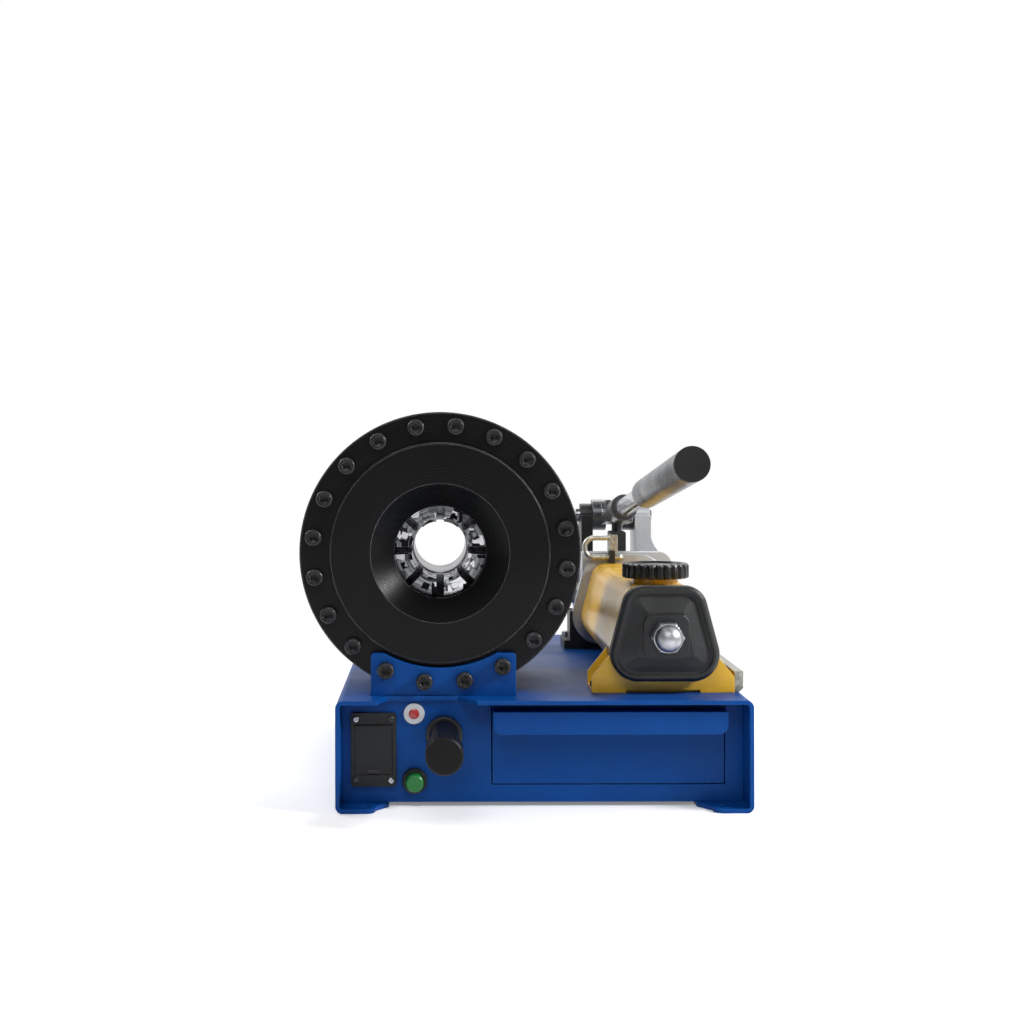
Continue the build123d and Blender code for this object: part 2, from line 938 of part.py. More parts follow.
# ---- drawer ----------------------------------------------------------------------------------
def drawer():
    t = drawer_sheet
    half = drawer_w / 2
    back_of_front = panel_recess + 1.5
    front = back_of_front - lip_t
    leaf = Pos(drawer_x, drawer_bottom + drawer_front_h / 2) * Rectangle(drawer_w, drawer_front_h)
    shape = slab(leaf, front, back_of_front)
    box_half = half - 1.0
    z0 = drawer_bottom
    z1 = z0 + drawer_box_h
    back = back_of_front + drawer_depth
    tray = block(drawer_x - box_half, drawer_x + box_half, back_of_front, back, z0, z1)
    tray -= block(
        drawer_x - box_half + t,
        drawer_x + box_half - t,
        back_of_front - 1,
        back - t,
        z0 + t,
        z1 + 1,
    )
    shape += tray
    lip_top = drawer_bottom + drawer_front_h - lip_below_top
    lip_face = panel_recess - lip_reach
    shape += block(
        drawer_x - half, drawer_x + half, lip_face, front, lip_top - lip_t, lip_top
    )
    apron = Pos(drawer_x, lip_top - lip_drop / 2) * Rectangle(drawer_w, lip_drop)
    apron = fillet(apron.vertices().group_by(Axis.Y)[0], lip_corner)
    shape += slab(apron, lip_face, lip_face + lip_t)
    return shape


# ---- hand pump ----------------------------------------------------------------------------------
def body_section(inset):
    """The pump's rounded trapezoid, made smaller all round by inset."""
    lean = (body_half_bottom - body_half_top) / body_h
    side = inset * sqrt(1 + lean * lean)
    low = body_half_bottom - side - lean * inset
    high = body_half_top - side + lean * inset
    z0 = body_bottom + inset
    z1 = body_bottom + body_h - inset
    outline = make_face(
        Polyline(
            (pump_x - low, z0), (pump_x + low, z0), (pump_x + high, z1), (pump_x - high, z1), close=True
        )
    )
    corners = outline.vertices().group_by(Axis.Y)
    outline = fillet(corners[0], body_r_bottom - inset)
    return fillet(outline.vertices().sort_by(Axis.Y)[-2:], body_r_top - inset)


def reservoir():
    """Reservoir body with the filler neck welded on its flat top."""
    back = reservoir_front + reservoir_length
    shell = slab(body_section(reservoir_inset), reservoir_front, back)
    hollow = slab(
        body_section(reservoir_inset + reservoir_wall), reservoir_front - 1, back + 1
    )
    shell -= hollow
    flat = body_bottom + body_h - reservoir_inset
    shell += rod_z(pump_x, fill_depth, fill_neck_d / 2, flat - 1, fill_neck_top - 0.3)
    return shell - rod_z(pump_x, fill_depth, fill_bore_d / 2, flat - 20, fill_neck_top + 1)


def fill_cap():
    r = fill_cap_d / 2
    cap = rod_z(pump_x, fill_depth, r, fill_neck_top, fill_neck_top + fill_cap_h)
    cap = chamfer(cap.edges().group_by(Axis.Z)[-1], 1.5)
    plug_low = body_bottom + body_h - reservoir_inset - reservoir_wall - 4
    cap += rod_z(
        pump_x, fill_depth, fill_bore_d / 2 - running_gap, plug_low, fill_neck_top
    )
    place = Pos(pump_x, front_y + fill_depth, fill_neck_top - 1)
    notches = [
        Rot(0, 0, 360.0 / fill_flutes * n) * Pos(r, 0, 0) * Rectangle(2 * flute_depth, flute_w)
        for n in range(fill_flutes)
    ]
    cap -= place * extrude(Sketch() + notches, fill_cap_h + 2)
    dish_top = fill_neck_top + fill_cap_h
    return cap - rod_z(pump_x, fill_depth, r - 8, dish_top - 2, dish_top + 1)


def reservoir_end_cap():
    back = reservoir_front
    front = back - cap_t
    shape = slab(body_section(0), front, back)
    rim = shape.edges().filter_by(lambda e: abs(e.center().Y - (front_y + front)) < 0.1)
    shape = chamfer(rim, cap_bevel)
    floor = front + cap_dish
    shape -= slab(body_section(cap_rim), front - 1, floor)
    hip_base = FRONT * (Pos(0, 0, -floor - 1) * body_section(cap_rim + 0.4))
    shape += extrude(hip_base, cap_hip_h + 1, taper=cap_hip_taper)
    boss = Pos(pump_x, cap_boss_z) * RectangleRounded(cap_boss_w, cap_boss_h, 8)
    shape += slab(boss, front - cap_boss_proud, front + 4)
    shape -= rod_y(pump_x, cap_boss_z, tie_rod_d / 2 + running_gap, front - 20, back + 1)
    return shape


def tie_bolt():
    """Full length tie rod with a domed hex nut at the front."""
    back = reservoir_front
    seat = back - cap_t - cap_boss_proud
    tail = reservoir_front + reservoir_length + head_plate_t + 20
    place = front_at(pump_x, cap_boss_z, seat)
    nut = place * extrude(hexagon(tie_hex_af), tie_hex_h)
    r = tie_dome_d / 2
    dome = place * (Pos(0, 0, tie_hex_h) * Sphere(r))
    keep = place * (Pos(0, 0, tie_hex_h - 1) * extrude(Circle(tie_hex_af), r + 2))
    return nut + (dome & keep) + rod_y(
        pump_x, cap_boss_z, tie_rod_d / 2, seat - tie_hex_h / 2, tail
    )


def saddle_plate():
    """Front view outline of the saddle, cut to the reservoir's section."""
    z0 = base_height
    z1 = z0 + saddle_side_h
    rise = 24.0
    outline = make_face(
        Polyline(
            (pump_x - saddle_half, z0),
            (pump_x + saddle_half, z0),
            (pump_x + saddle_half, z1),
            (pump_x + saddle_half - rise * 0.8, z1 + rise),
            (pump_x - saddle_half + rise * 0.8, z1 + rise),
            (pump_x - saddle_half, z1),
            close=True,
        )
    )
    window = Pos(pump_x, z0) * Rectangle(saddle_window_w, 5)
    return outline - body_section(reservoir_inset - saddle_gap) - window


def pump_saddle():
    front = reservoir_front + 1
    back = front + saddle_length
    shape = slab(saddle_plate(), front, front + saddle_t)
    shape += slab(saddle_plate(), back - saddle_t, back)
    base = block(
        pump_x - saddle_half,
        pump_x + saddle_half,
        front,
        back,
        base_height,
        base_height + saddle_t,
    )
    window = block(
        pump_x - saddle_window_w / 2,
        pump_x + saddle_window_w / 2,
        front - 1,
        front + saddle_t + 1,
        base_height - 1,
        base_height + saddle_window_h,
    )
    return shape + base - window


def pump_bolts():
    """Hex bolts that hold the saddle and the rear foot."""
    bolts = []
    saddle_mid = reservoir_front + 1 + saddle_length / 2
    foot_mid = casting_front() + 48
    for depth, seat in ((saddle_mid, base_height + saddle_t), (foot_mid, base_height + foot_t)):
        for side in (-1, 1):
            x = pump_x + side * (saddle_half - 8)
            y = front_y + depth
            bolt = Pos(x, y, seat) * extrude(hexagon(13), 5.3)
            bolt += rod_z(x, depth, 6.5, seat, seat + 1.6)
            bolts.append(bolt)
    return bolts


def casting_front():
    return reservoir_front + reservoir_length


def pump_foot():
    """Black rear foot between the base and the pump head casting."""
    front = casting_front() + 2
    back = front + foot_length
    low = base_height
    shape = block(pump_x - saddle_half, pump_x + saddle_half, front, back, low, low + foot_t)
    for side in (-1, 1):
        x0 = pump_x + side * 24
        x1 = pump_x + side * 62
        shape += block(min(x0, x1), max(x0, x1), front, front + 38, low, low + 44)
    plate = slab(body_section(-head_outset), casting_front() - 1, casting_front() + head_plate_t)
    return shape - plate - casting_block()


def casting_block():
    front = casting_front() + head_plate_t
    back = front + head_block_length
    low = body_bottom - 4
    return block(pump_x - casting_half, pump_x + casting_half, front, back, low, casting_top)


def pump_head():
    """Casting that closes the rear of the reservoir and carries the lever."""
    front = casting_front()
    shape = slab(body_section(-head_outset), front, front + head_plate_t)
    shape += casting_block()
    top = block(
        pump_x - slab_left,
        pump_x + slab_right,
        front + 3,
        front + 3 + slab_t,
        head_slab_top - slab_h,
        head_slab_top,
    )
    corner = top.edges().filter_by(Axis.Y).group_by(Axis.Z)[-1].sort_by(Axis.X)[-1]
    shape += fillet(corner, slab_corner)
    lug_x0 = pump_x + 24
    lug_x1 = pump_x + casting_half
    shape += block(lug_x0, lug_x1, pivot_depth - 24, pivot_depth + 24, casting_top - 1, pivot_z)
    shape += rod_x(pivot_depth, pivot_z, lug_r, lug_x0, lug_x1)
    shape += slab(lug_foot(lug_x1 - 1), pivot_depth - 24, pivot_depth + 24)
    shape -= rod_x(pivot_depth, pivot_z, pivot_pin_d / 2, lug_x0 - 1, lug_x1 + 1)
    shape -= rod_y(pump_x, cap_boss_z, tie_rod_d / 2 + running_gap, front - 1, front + head_plate_t + 22)
    link_depth = pivot_depth - link_arm
    shape -= rod_z(pump_x, link_depth, plunger_d / 2 + running_gap, plunger_bottom - 12, 300)
    valve_depth, valve_z = release_place()
    stem = pump_x - casting_half + release_stem + 2
    shape -= rod_x(valve_depth, valve_z, 4 + running_gap, pump_x - casting_half - 1, stem)
    return shape


def lug_foot(x0):
    """Flared foot of the right lug, with a hollow curve up to the waist."""
    x1 = pump_x + lug_foot_reach
    z0 = casting_top - 1
    z1 = casting_top + lug_foot_t
    hollow = (x0 + (x1 - x0) * 0.4, z1 + (lug_waist_z - z1) * 0.33)
    sides = Polyline((x0, lug_waist_z), (x0, z0), (x1, z0), (x1, z1))
    return make_face(sides + ThreePointArc((x1, z1), hollow, (x0, lug_waist_z)))


def release_place():
    """Depth and height of the release valve."""
    return casting_front() + head_plate_t + 88, casting_top - 18


def fulcrum_lug():
    x0 = pump_x - 41
    x1 = pump_x - 27
    shape = block(x0, x1, pivot_depth - 22, pivot_depth + 22, casting_top, pivot_z)
    shape += rod_x(pivot_depth, pivot_z, lug_r, x0, x1)
    return shape - rod_x(pivot_depth, pivot_z, pivot_pin_d / 2, x0 - 1, x1 + 1)


def pivot_pin():
    x0 = pump_x - 44
    x1 = pump_x + 47
    return rod_x(pivot_depth, pivot_z, pivot_pin_d / 2, x0, x1) + rod_x(
        pivot_depth, pivot_z, pivot_pin_d / 2 + 2, x0 - 3, x0 + 2.8
    )


def plunger_gland():
    link_depth = pivot_depth - link_arm
    half = link_head_half + 0.5
    top = casting_top + gland_h
    shape = block(pump_x - half, pump_x + half, link_depth - 15, link_depth + 15, casting_top, top)
    shape = chamfer(shape.edges().group_by(Axis.Z)[-1], 1.5)
    return shape - rod_z(pump_x, link_depth, plunger_d / 2 + running_gap, casting_top - 1, top + 1)


def lever_point(depth):
    """Height of the lever's axis at a depth."""
    return pivot_z + (pivot_depth - depth) * tan(radians(lever_angle))


def lever_bar(radius, depth0, depth1):
    """A round bar along the lever between two depths."""
    start = Vector(pump_x, front_y + depth0, lever_point(depth0))
    end = Vector(pump_x, front_y + depth1, lever_point(depth1))
    place = Plane(origin=start, x_dir=(1, 0, 0), z_dir=end - start)
    return place * extrude(Circle(radius), (end - start).length)


def pump_plunger():
    """Plunger with a slotted head, which lets the link pin swing through its arc."""
    link_depth = pivot_depth - link_arm
    link_z = lever_point(link_depth)
    pin_r = link_pin_d / 2
    front = link_depth - pin_r - link_swing_front
    rear = link_depth + pin_r + link_swing_rear
    low = link_z - pin_r - link_swing_z
    high = link_z + pin_r + link_swing_z
    half = link_head_half
    wall = link_wall
    head = block(
        pump_x - half, pump_x + half, front - wall, rear + wall, low - wall, high + wall
    )
    head = fillet(head.edges().filter_by(Axis.X), 3)
    head -= block(pump_x - half - 1, pump_x + half + 1, front, rear, low, high)
    return head + rod_z(pump_x, link_depth, plunger_d / 2, plunger_bottom, low - 1)


def cheek(x0, x1):
    """One side of the lever's fork, from the hub to the socket."""
    end = socket_end
    slope = Plane(
        origin=(x0, front_y + pivot_depth, pivot_z),
        x_dir=(0, -cos(radians(lever_angle)), sin(radians(lever_angle))),
        z_dir=(1, 0, 0),
    )
    length = pivot_depth - end
    face = Pos(length / 2, 0) * Rectangle(length, 2 * cheek_half)
    return slope * extrude(face, x1 - x0)


def lever_yoke():
    """Aluminium fork: hub on the pivot pin, two cheeks, and a socket for the rod."""
    inner = link_head_half + 1.0
    outer = inner + cheek_t
    shape = rod_x(pivot_depth, pivot_z, hub_r, pump_x - 26.5, pump_x - inner)
    shape += rod_x(pivot_depth, pivot_z, hub_r, pump_x + inner, pump_x + 23.5)
    shape += rod_x(pivot_depth, pivot_z, hub_core_r, pump_x - inner - 1, pump_x + inner + 1)
    shape += cheek(pump_x - outer, pump_x - inner)
    shape += cheek(pump_x + inner, pump_x + outer)
    shape += lever_bar(lever_rod_d / 2 + 5, socket_start, socket_end + 2)
    link_depth = pivot_depth - link_arm
    link_z = lever_point(link_depth)
    shape -= rod_x(pivot_depth, pivot_z, pivot_pin_d / 2 + running_gap, pump_x - 60, pump_x + 60)
    shape -= rod_x(link_depth, link_z, link_pin_d / 2, pump_x - 40, pump_x + 40)
    shape -= lever_bar(lever_rod_d / 2, socket_start - 5, rod_end)
    return shape


def link_pin():
    link_depth = pivot_depth - link_arm
    reach = link_head_half + 1.0 + cheek_t + 2.0
    return rod_x(link_depth, lever_point(link_depth), link_pin_d / 2, pump_x - reach, pump_x + reach)


def lever_rod():
    """Steel rod and grip tube, welded to one lever."""
    rod = lever_bar(lever_rod_d / 2, lever_grip_back - 4, rod_end)
    grip = lever_bar(lever_grip_d / 2, lever_grip_front + plug_t, lever_grip_back)
    bore = lever_bar(lever_grip_d / 2 - 2.5, lever_grip_front, lever_grip_back - 6)
    return grip - bore + rod


def grip_plug():
    stem_end = lever_grip_front + plug_t + 14
    plug = lever_bar(lever_grip_d / 2, lever_grip_front, lever_grip_front + plug_t)
    return plug + lever_bar(lever_grip_d / 2 - 2.5, lever_grip_front + 1, stem_end)


def release_knob():
    """Knurled release valve knob on the left of the casting."""
    x1 = pump_x - casting_half
    depth, z = release_place()
    knob = rod_x(depth, z, 11, x1 - 22, x1 - 2)
    return knob + rod_x(depth, z, 4, x1 - 5, x1 + release_stem)


def pressure_pipe():
    """U-bent steel pipe from the valve block round to the casting, with its valve block."""
    depth = casting_front() - 5
    high = head_slab_top + pipe_rise
    low = head_slab_top - 5
    bend = (high - low) / 2 - 0.5
    left = pump_x - 45
    start = (pump_x - 16, depth, high)
    points = [start, (left, depth, high), (left, depth, low), (pump_x - 1, depth, low)]
    points.append((pump_x - 1, casting_front(), low))
    path = FilletPolyline(*[(x, front_y + d, z) for x, d, z in points], radius=[bend, bend, 4.5])
    first = Plane(origin=(start[0], front_y + depth, high), z_dir=(-1, 0, 0))
    pipe = sweep(first * Circle(pipe_d / 2), path=path)
    valve = block(
        pump_x - 16, pump_x - 7, depth - 4, casting_front() + 12, head_slab_top, high + 3.5
    )
    return [pipe, valve]


def pipe_clip():
    """Black clip that holds the pipe's lower leg on the reservoir."""
    depth = casting_front() - 5
    low = head_slab_top - 5
    flat = body_bottom + body_h - reservoir_inset
    clip = block(pump_x - 17, pump_x - 10, depth - 5.5, depth + 4.5, flat, head_slab_top + 3)
    clip -= rod_x(depth, low, pipe_d / 2, pump_x - 20, pump_x)
    valve = block(
        pump_x - 16, pump_x - 7, depth - 4, casting_front() + 12, head_slab_top, head_slab_top + 9
    )
    return clip - valve


def pressure_hose():
    """Hose from the casting to the cylinder's port, with its end fittings."""
    px, pz = port_point()
    x1 = head_x + px
    z1 = head_z + pz
    x0 = pump_x - casting_half
    depth0 = casting_front() + head_plate_t + 45
    end0 = (x0 - fitting_length, depth0, z1)
    end1 = (x1, head_back + fitting_length, z1)
    points = [
        end0,
        (x0 - fitting_length - 38, depth0, z1),
        (x1 + 8, depth0 - 42, z1 - 12),
        (x1, head_back + fitting_length + 62, z1 - 4),
        end1,
    ]
    corners = [Vector(x, front_y + d, z) for x, d, z in points]
    radii = []
    for before, corner, after in zip(corners, corners[1:], corners[2:]):
        turn = (corner - before).get_angle(after - corner)
        shorter = min((corner - before).length, (after - corner).length)
        radii.append(0.45 * shorter / tan(radians(turn / 2)))
    path = FilletPolyline(*corners, radius=radii)
    hose = sweep(Plane(origin=corners[0], z_dir=(-1, 0, 0)) * Circle(hose_d / 2), path=path)
    fitting0 = rod_x(depth0, z1, hose_d / 2 + 2.5, x0 - fitting_length, x0 - 10)
    nut0 = Plane(origin=(x0 - 10, front_y + depth0, z1), z_dir=(1, 0, 0)) * extrude(hexagon(24), 10)
    fitting1 = rod_y(x1, z1, hose_d / 2 + 2.5, head_back + 10, head_back + fitting_length)
    nut1 = front_at(x1, z1, head_back + 10) * extrude(hexagon(24), 10)
    spigot = rod_y(x1, z1, port_r, barrel_back + 4, head_back)
    return [hose, fitting0 + nut0, fitting1 + nut1 + spigot]


def side_bar():
    """Locating bar along the right of the saddle, chamfered clear of the base's bend."""
    x0 = pump_x + saddle_half + side_bar_gap
    top = base_height + side_bar_h
    bar = block(x0, x0 + side_bar_w, side_bar_start, side_bar_end, base_height, top)
    low_right = bar.edges().filter_by(Axis.Y).group_by(Axis.Z)[0].sort_by(Axis.X)[-1]
    return chamfer(low_right, side_bar_chamfer)


NODES = {
    "base_wrap": base_wrap,
    "front_plate": front_plate,
    "drawer_runners": drawer_runners,
    "front_flange": front_flange,
    "cylinder_barrel": cylinder_barrel,
    "guide_tube": guide_tube,
    "flange_screws": flange_screws,
    "head_foot": head_foot,
    "piston": piston,
    "piston_seal": piston_seal,
    "battery_housing": battery_housing,
    "battery_door": battery_door,
    "battery_cells": battery_cells,
    "panel_screws": panel_screws,
    "indicator_bezel": indicator_bezel,
    "indicator_lens": indicator_lens,
    "button_body": button_body,
    "button_cap": button_cap,
    "knob_bush": knob_bush,
    "diameter_knob": diameter_knob,
    "stop_spindle": stop_spindle,
    "limit_switch": limit_switch,
    "drawer": drawer,
    "reservoir": reservoir,
    "fill_cap": fill_cap,
    "reservoir_end_cap": reservoir_end_cap,
    "tie_bolt": tie_bolt,
    "pump_saddle": pump_saddle,
    "pump_bolts": pump_bolts,
    "pump_foot": pump_foot,
    "pump_head": pump_head,
    "fulcrum_lug": fulcrum_lug,
    "pivot_pin": pivot_pin,
    "plunger_gland": plunger_gland,
    "pump_plunger": pump_plunger,
    "lever_yoke": lever_yoke,
    "link_pin": link_pin,
    "lever_rod": lever_rod,
    "grip_plug": grip_plug,
    "release_knob": release_knob,
    "side_bar": side_bar,
    "pressure_pipe": pressure_pipe,
    "pipe_clip": pipe_clip,
    "pressure_hose": pressure_hose,
}


def save(name, made):
    pieces = made if isinstance(made, list) else [made]
    solids = [solid for piece in pieces for solid in piece.solids()]
    shape = solids[0] if len(solids) == 1 else Compound(children=solids)
    export_step(shape, f"parts/{name}.step")


def main():
    os.makedirs("parts", exist_ok=True)
    for name, make in NODES.items():
        save(name, make())
    shoe = shoe_blank()
    die = die_blank()
    for k in range(shoe_count):
        save(f"die_shoe_{k + 1}", open_place(k, shoe))
        save(f"die_{k + 1}", open_place(k, die))


main()
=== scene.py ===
import math

import bmesh
import bpy
from mathutils import Matrix, Vector


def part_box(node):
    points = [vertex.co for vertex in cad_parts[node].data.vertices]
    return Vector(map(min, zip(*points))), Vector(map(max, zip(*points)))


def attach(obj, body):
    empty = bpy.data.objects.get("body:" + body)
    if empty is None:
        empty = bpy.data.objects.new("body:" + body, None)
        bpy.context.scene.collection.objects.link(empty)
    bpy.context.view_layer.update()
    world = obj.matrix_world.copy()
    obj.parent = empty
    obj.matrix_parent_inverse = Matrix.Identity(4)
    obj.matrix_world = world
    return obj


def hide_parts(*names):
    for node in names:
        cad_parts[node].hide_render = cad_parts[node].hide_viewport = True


bl_info = {
    "name": "Hose crimping machine",
    "version": (1, 0, 0),
    "blender": (4, 5, 0),
    "location": "View3D > Sidebar > Hose crimper",
    "description": "Dresses a bench hose crimper with paint, metal and small fittings",
    "category": "Object",
}

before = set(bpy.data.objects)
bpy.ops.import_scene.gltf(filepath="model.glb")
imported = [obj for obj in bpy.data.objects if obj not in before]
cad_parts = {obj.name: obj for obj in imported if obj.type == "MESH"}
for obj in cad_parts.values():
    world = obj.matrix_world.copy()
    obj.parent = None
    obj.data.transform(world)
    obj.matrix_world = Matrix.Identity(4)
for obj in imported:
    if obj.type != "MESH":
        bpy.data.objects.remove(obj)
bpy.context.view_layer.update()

# Places in the shared frame, in metres. A depth is counted back from the base's front.
BASE_FRONT = -0.260
HEAD_X = -0.097
HEAD_Z = 0.240
LAMP_X = -0.122
LAMP_Z = 0.088
PUMP_X = 0.117
DOME_NUT_Z = 0.1615
SLEEVE_END_DEPTH = 0.163
HEAD_FERRULE_DEPTH = 0.276
PUMP_FERRULE_X = 0.039

# The flange screws, counted from the head's axis. Those that pass through the front plate's
# tab have their seat on it, nearer to the front.
SCREW_COUNT = 20
SCREW_CIRCLE = 0.122
FIRST_SCREW_DEG = 10.9
SOCKET_TURN_DEG = 37.0
FLANGE_SEAT_DEPTH = 0.044
TAB_SEAT_DEPTH = 0.032
TAB_TOP = -0.0976
TAB_LEFT = -0.066
TAB_RIGHT = 0.072

# The battery case's middle and face, and how far its corner screws stand from the middle.
CASE_X = -0.1605
CASE_Z = 0.05445
CASE_FACE_DEPTH = 0.028
CASE_SCREW_X = 0.01675
CASE_SCREW_Z = 0.029

# The camera, and where the floor blends into the white backdrop.
CAMERA_PLACE = (-0.0969, -1.710, 0.3385)
CAMERA_ROLL_DEG = 0.1
CAMERA_SHIFT = (0.0703, -0.0605)
FLOOR_BLEND = (0.42, 0.95)

WHITE = (1.0, 1.0, 1.0, 1.0)


def srgb(r, g, b):
    """A colour given in 0 to 255 steps, as linear values with full alpha."""
    made = []
    for step in (r, g, b):
        c = step / 255.0
        made.append(c / 12.92 if c <= 0.04045 else ((c + 0.055) / 1.055) ** 2.4)
    return (*made, 1.0)


def colour(label, note, value):
    return bpy.props.FloatVectorProperty(
        name=label, description=note, subtype="COLOR", size=4, min=0.0, max=1.0, default=value
    )


def length(label, note, value):
    return bpy.props.FloatProperty(
        name=label, description=note, subtype="DISTANCE", unit="LENGTH", min=0.0, default=value
    )


def factor(label, note, value):
    return bpy.props.FloatProperty(
        name=label, description=note, subtype="FACTOR", min=0.0, max=1.0, default=value
    )


def power(label, note, value):
    return bpy.props.FloatProperty(
        name=label, description=note, unit="POWER", min=0.0, default=value
    )


class CrimperPaint(bpy.types.PropertyGroup):
    """Colours of the painted and moulded pieces."""

    blue: colour("Sheet metal blue", "Powder coat of the base and the drawer", srgb(3, 66, 138))
    # Pale blue at edges: partly worn powder coat, partly painted edge highlight.
    blue_edge_wear_and_highlight: colour("Blue at edges", "Powder coat thin over an edge", srgb(34, 104, 182))
    black: colour("Head black", "Black oxide of the crimping head", srgb(17, 18, 19))
    # Pale steel at edges: partly worn oxide, partly painted edge highlight.
    black_edge_wear_and_highlight: colour("Black at edges", "Steel that shows at worn edges", srgb(150, 150, 152))
    yellow: colour("Pump yellow", "Enamel of the reservoir and the saddle", srgb(232, 180, 42))
    # Pale yellow at edges: partly rubbed enamel, partly painted edge highlight.
    yellow_edge_wear_and_highlight: colour("Yellow at edges", "Enamel rubbed pale at edges", srgb(236, 206, 120))
    plastic: colour("Black plastic", "Battery case and switches", srgb(20, 22, 23))
    lens: colour("Lamp red", "Lens of the indicator lamp", srgb(142, 24, 24))
    button: colour("Button green", "Cap of the start button", srgb(4, 108, 40))
    bezel: colour("Lamp bezel", "Pale ring round the lamp", srgb(190, 194, 198))
    # How much of the pale edge colours is mixed in, as edge wear and painted edge highlight
    # together.
    wear_and_edge_highlight: factor("Edge wear", "How far paint is rubbed at the edges", 0.6)


class CrimperFasteners(bpy.types.PropertyGroup):
    """Sizes of the small fittings made here."""

    head_d: length("Cap screw head", "Diameter of the flange screw heads", 0.016)
    head_h: length("Head height", "Height of the flange screw heads", 0.010)
    socket_af: length("Socket width", "Hex socket across its flats", 0.008)
    chamfer: length("Head chamfer", "Bevel round a screw head", 0.0009)
    panel_d: length("Panel screw head", "Diameter of the battery case screws", 0.0062)
    nut_af: length("Dome nut width", "Dome nut across its flats", 0.0275)
    nut_h: length("Dome nut height", "Height of the dome nut's hexagon", 0.0115)
    dome_d: length("Dome", "Diameter of the dome nut's dome", 0.0262)


class CrimperStudio(bpy.types.PropertyGroup):
    """Floor, lamps and camera."""

    floor: colour("Floor", "Colour of the floor", (0.86, 0.86, 0.87, 1.0))
    key: power("Key lamp", "Power of the broad lamp above the front", 22.0)
    side: power("Side lamp", "Power of the small lamp on the right", 24.0)
    window: power("Window lamp", "Power of the lamp on the left, behind the head", 20.0)
    rear: power("Rear lamp", "Power of the lamp behind the machine", 14.0)
    lens: bpy.props.FloatProperty(
        name="Lens",
        description="Focal length of the camera",
        default=54.81,
        min=1.0,
        subtype="DISTANCE_CAMERA",
    )


# ---- node helpers ---------------------------------------------------------------


class Wiring:
    """Adds and joins nodes in one tree."""

    def __init__(self, tree):
        self.tree = tree

    def add(self, kind, inputs=None, **settings):
        node = self.tree.nodes.new(kind)
        for key, value in settings.items():
            setattr(node, key, value)
        for key, value in (inputs or {}).items():
            if isinstance(value, bpy.types.NodeSocket):
                self.tree.links.new(value, node.inputs[key])
            else:
                node.inputs[key].default_value = value
        return node

    def join(self, source, target):
        self.tree.links.new(source, target)

    def math(self, operation, a, b=None, clamp=False):
        inputs = {0: a} if b is None else {0: a, 1: b}
        node = self.add("ShaderNodeMath", inputs, operation=operation, use_clamp=clamp)
        return node.outputs[0]

    def vector_math(self, operation, a, b=None):
        inputs = {0: a} if b is None else {0: a, 1: b}
        return self.add("ShaderNodeVectorMath", inputs, operation=operation)

    def place(self):
        """Where the shaded point lies in the object's own frame."""
        return self.add("ShaderNodeTexCoord").outputs["Object"]

    def noise(self, scale, detail, vector):
        inputs = {"Vector": vector, "Scale": scale, "Detail": detail}
        return self.add("ShaderNodeTexNoise", inputs).outputs["Fac"]

    def spread(self, value, low, high, to_low=0.0, to_high=1.0):
        inputs = {
            "Value": value, "From Min": low, "From Max": high, "To Min": to_low, "To Max": to_high
        }
        return self.add("ShaderNodeMapRange", inputs, clamp=True).outputs["Result"]

    def mix(self, mask, a, b):
        node = self.add("ShaderNodeMix", data_type="RGBA")
        for socket, value in ((node.inputs[0], mask), (node.inputs[6], a), (node.inputs[7], b)):
            if isinstance(value, bpy.types.NodeSocket):
                self.join(value, socket)
            else:
                socket.default_value = value
        return node.outputs[2]


FLOAT = "NodeSocketFloat"
VECTOR = "NodeSocketVector"


def new_group(name, numbers, outputs, vectors=()):
    """A shader group with float and vector inputs and their defaults, and typed outputs."""
    tree = bpy.data.node_groups.new(name, "ShaderNodeTree")
    for kind, pairs in ((FLOAT, numbers.items()), (VECTOR, vectors)):
        for label, value in pairs:
            socket = tree.interface.new_socket(label, in_out="INPUT", socket_type=kind)
            socket.default_value = value
    for label, kind in outputs.items():
        tree.interface.new_socket(label, in_out="OUTPUT", socket_type=kind)
    wire = Wiring(tree)
    return tree, wire, wire.add("NodeGroupInput"), wire.add("NodeGroupOutput")


def build_speckle():
    """Fine coat texture: orange peel of powder coat, moulded grain or cast skin."""
    tree, wire, given, out = new_group(
        "coat_speckle", {"Scale": 900.0, "Contrast": 0.2}, {"Mask": FLOAT, "Height": FLOAT}
    )
    fine = wire.noise(given.outputs["Scale"], 2.0, wire.place())
    low = wire.math("SUBTRACT", 0.5, given.outputs["Contrast"])
    high = wire.math("ADD", 0.5, given.outputs["Contrast"])
    wire.join(wire.spread(fine, low, high), out.inputs["Mask"])
    wire.join(fine, out.inputs["Height"])
    return tree


def build_edge_wear_and_highlight():
    """Marks the convex and concave edges of a piece, broken up by noise; the mask carries both edge
    wear and painted edge highlight.
    """
    tree, wire, given, out = new_group(
        "edge_wear_and_highlight", {"Width": 0.0008, "Breakup": 0.5}, {"Mask": FLOAT, "Normal": VECTOR}
    )
    soft = wire.add("ShaderNodeBevel", {"Radius": given.outputs["Width"]}, samples=6)
    facing = wire.add("ShaderNodeNewGeometry")
    dot = wire.vector_math("DOT_PRODUCT", soft.outputs["Normal"], facing.outputs["Normal"])
    bend = wire.math("SUBTRACT", 1.0, dot.outputs["Value"])
    edge = wire.spread(bend, 0.01, 0.14)
    chips = wire.spread(wire.noise(70.0, 4.0, wire.place()), 0.35, 0.62)
    kept = wire.math("SUBTRACT", 1.0, given.outputs["Breakup"])
    share = wire.math("ADD", kept, wire.math("MULTIPLY", chips, given.outputs["Breakup"]))
    wire.join(wire.math("MULTIPLY", edge, share, clamp=True), out.inputs["Mask"])
    wire.join(soft.outputs["Normal"], out.inputs["Normal"])
    return tree


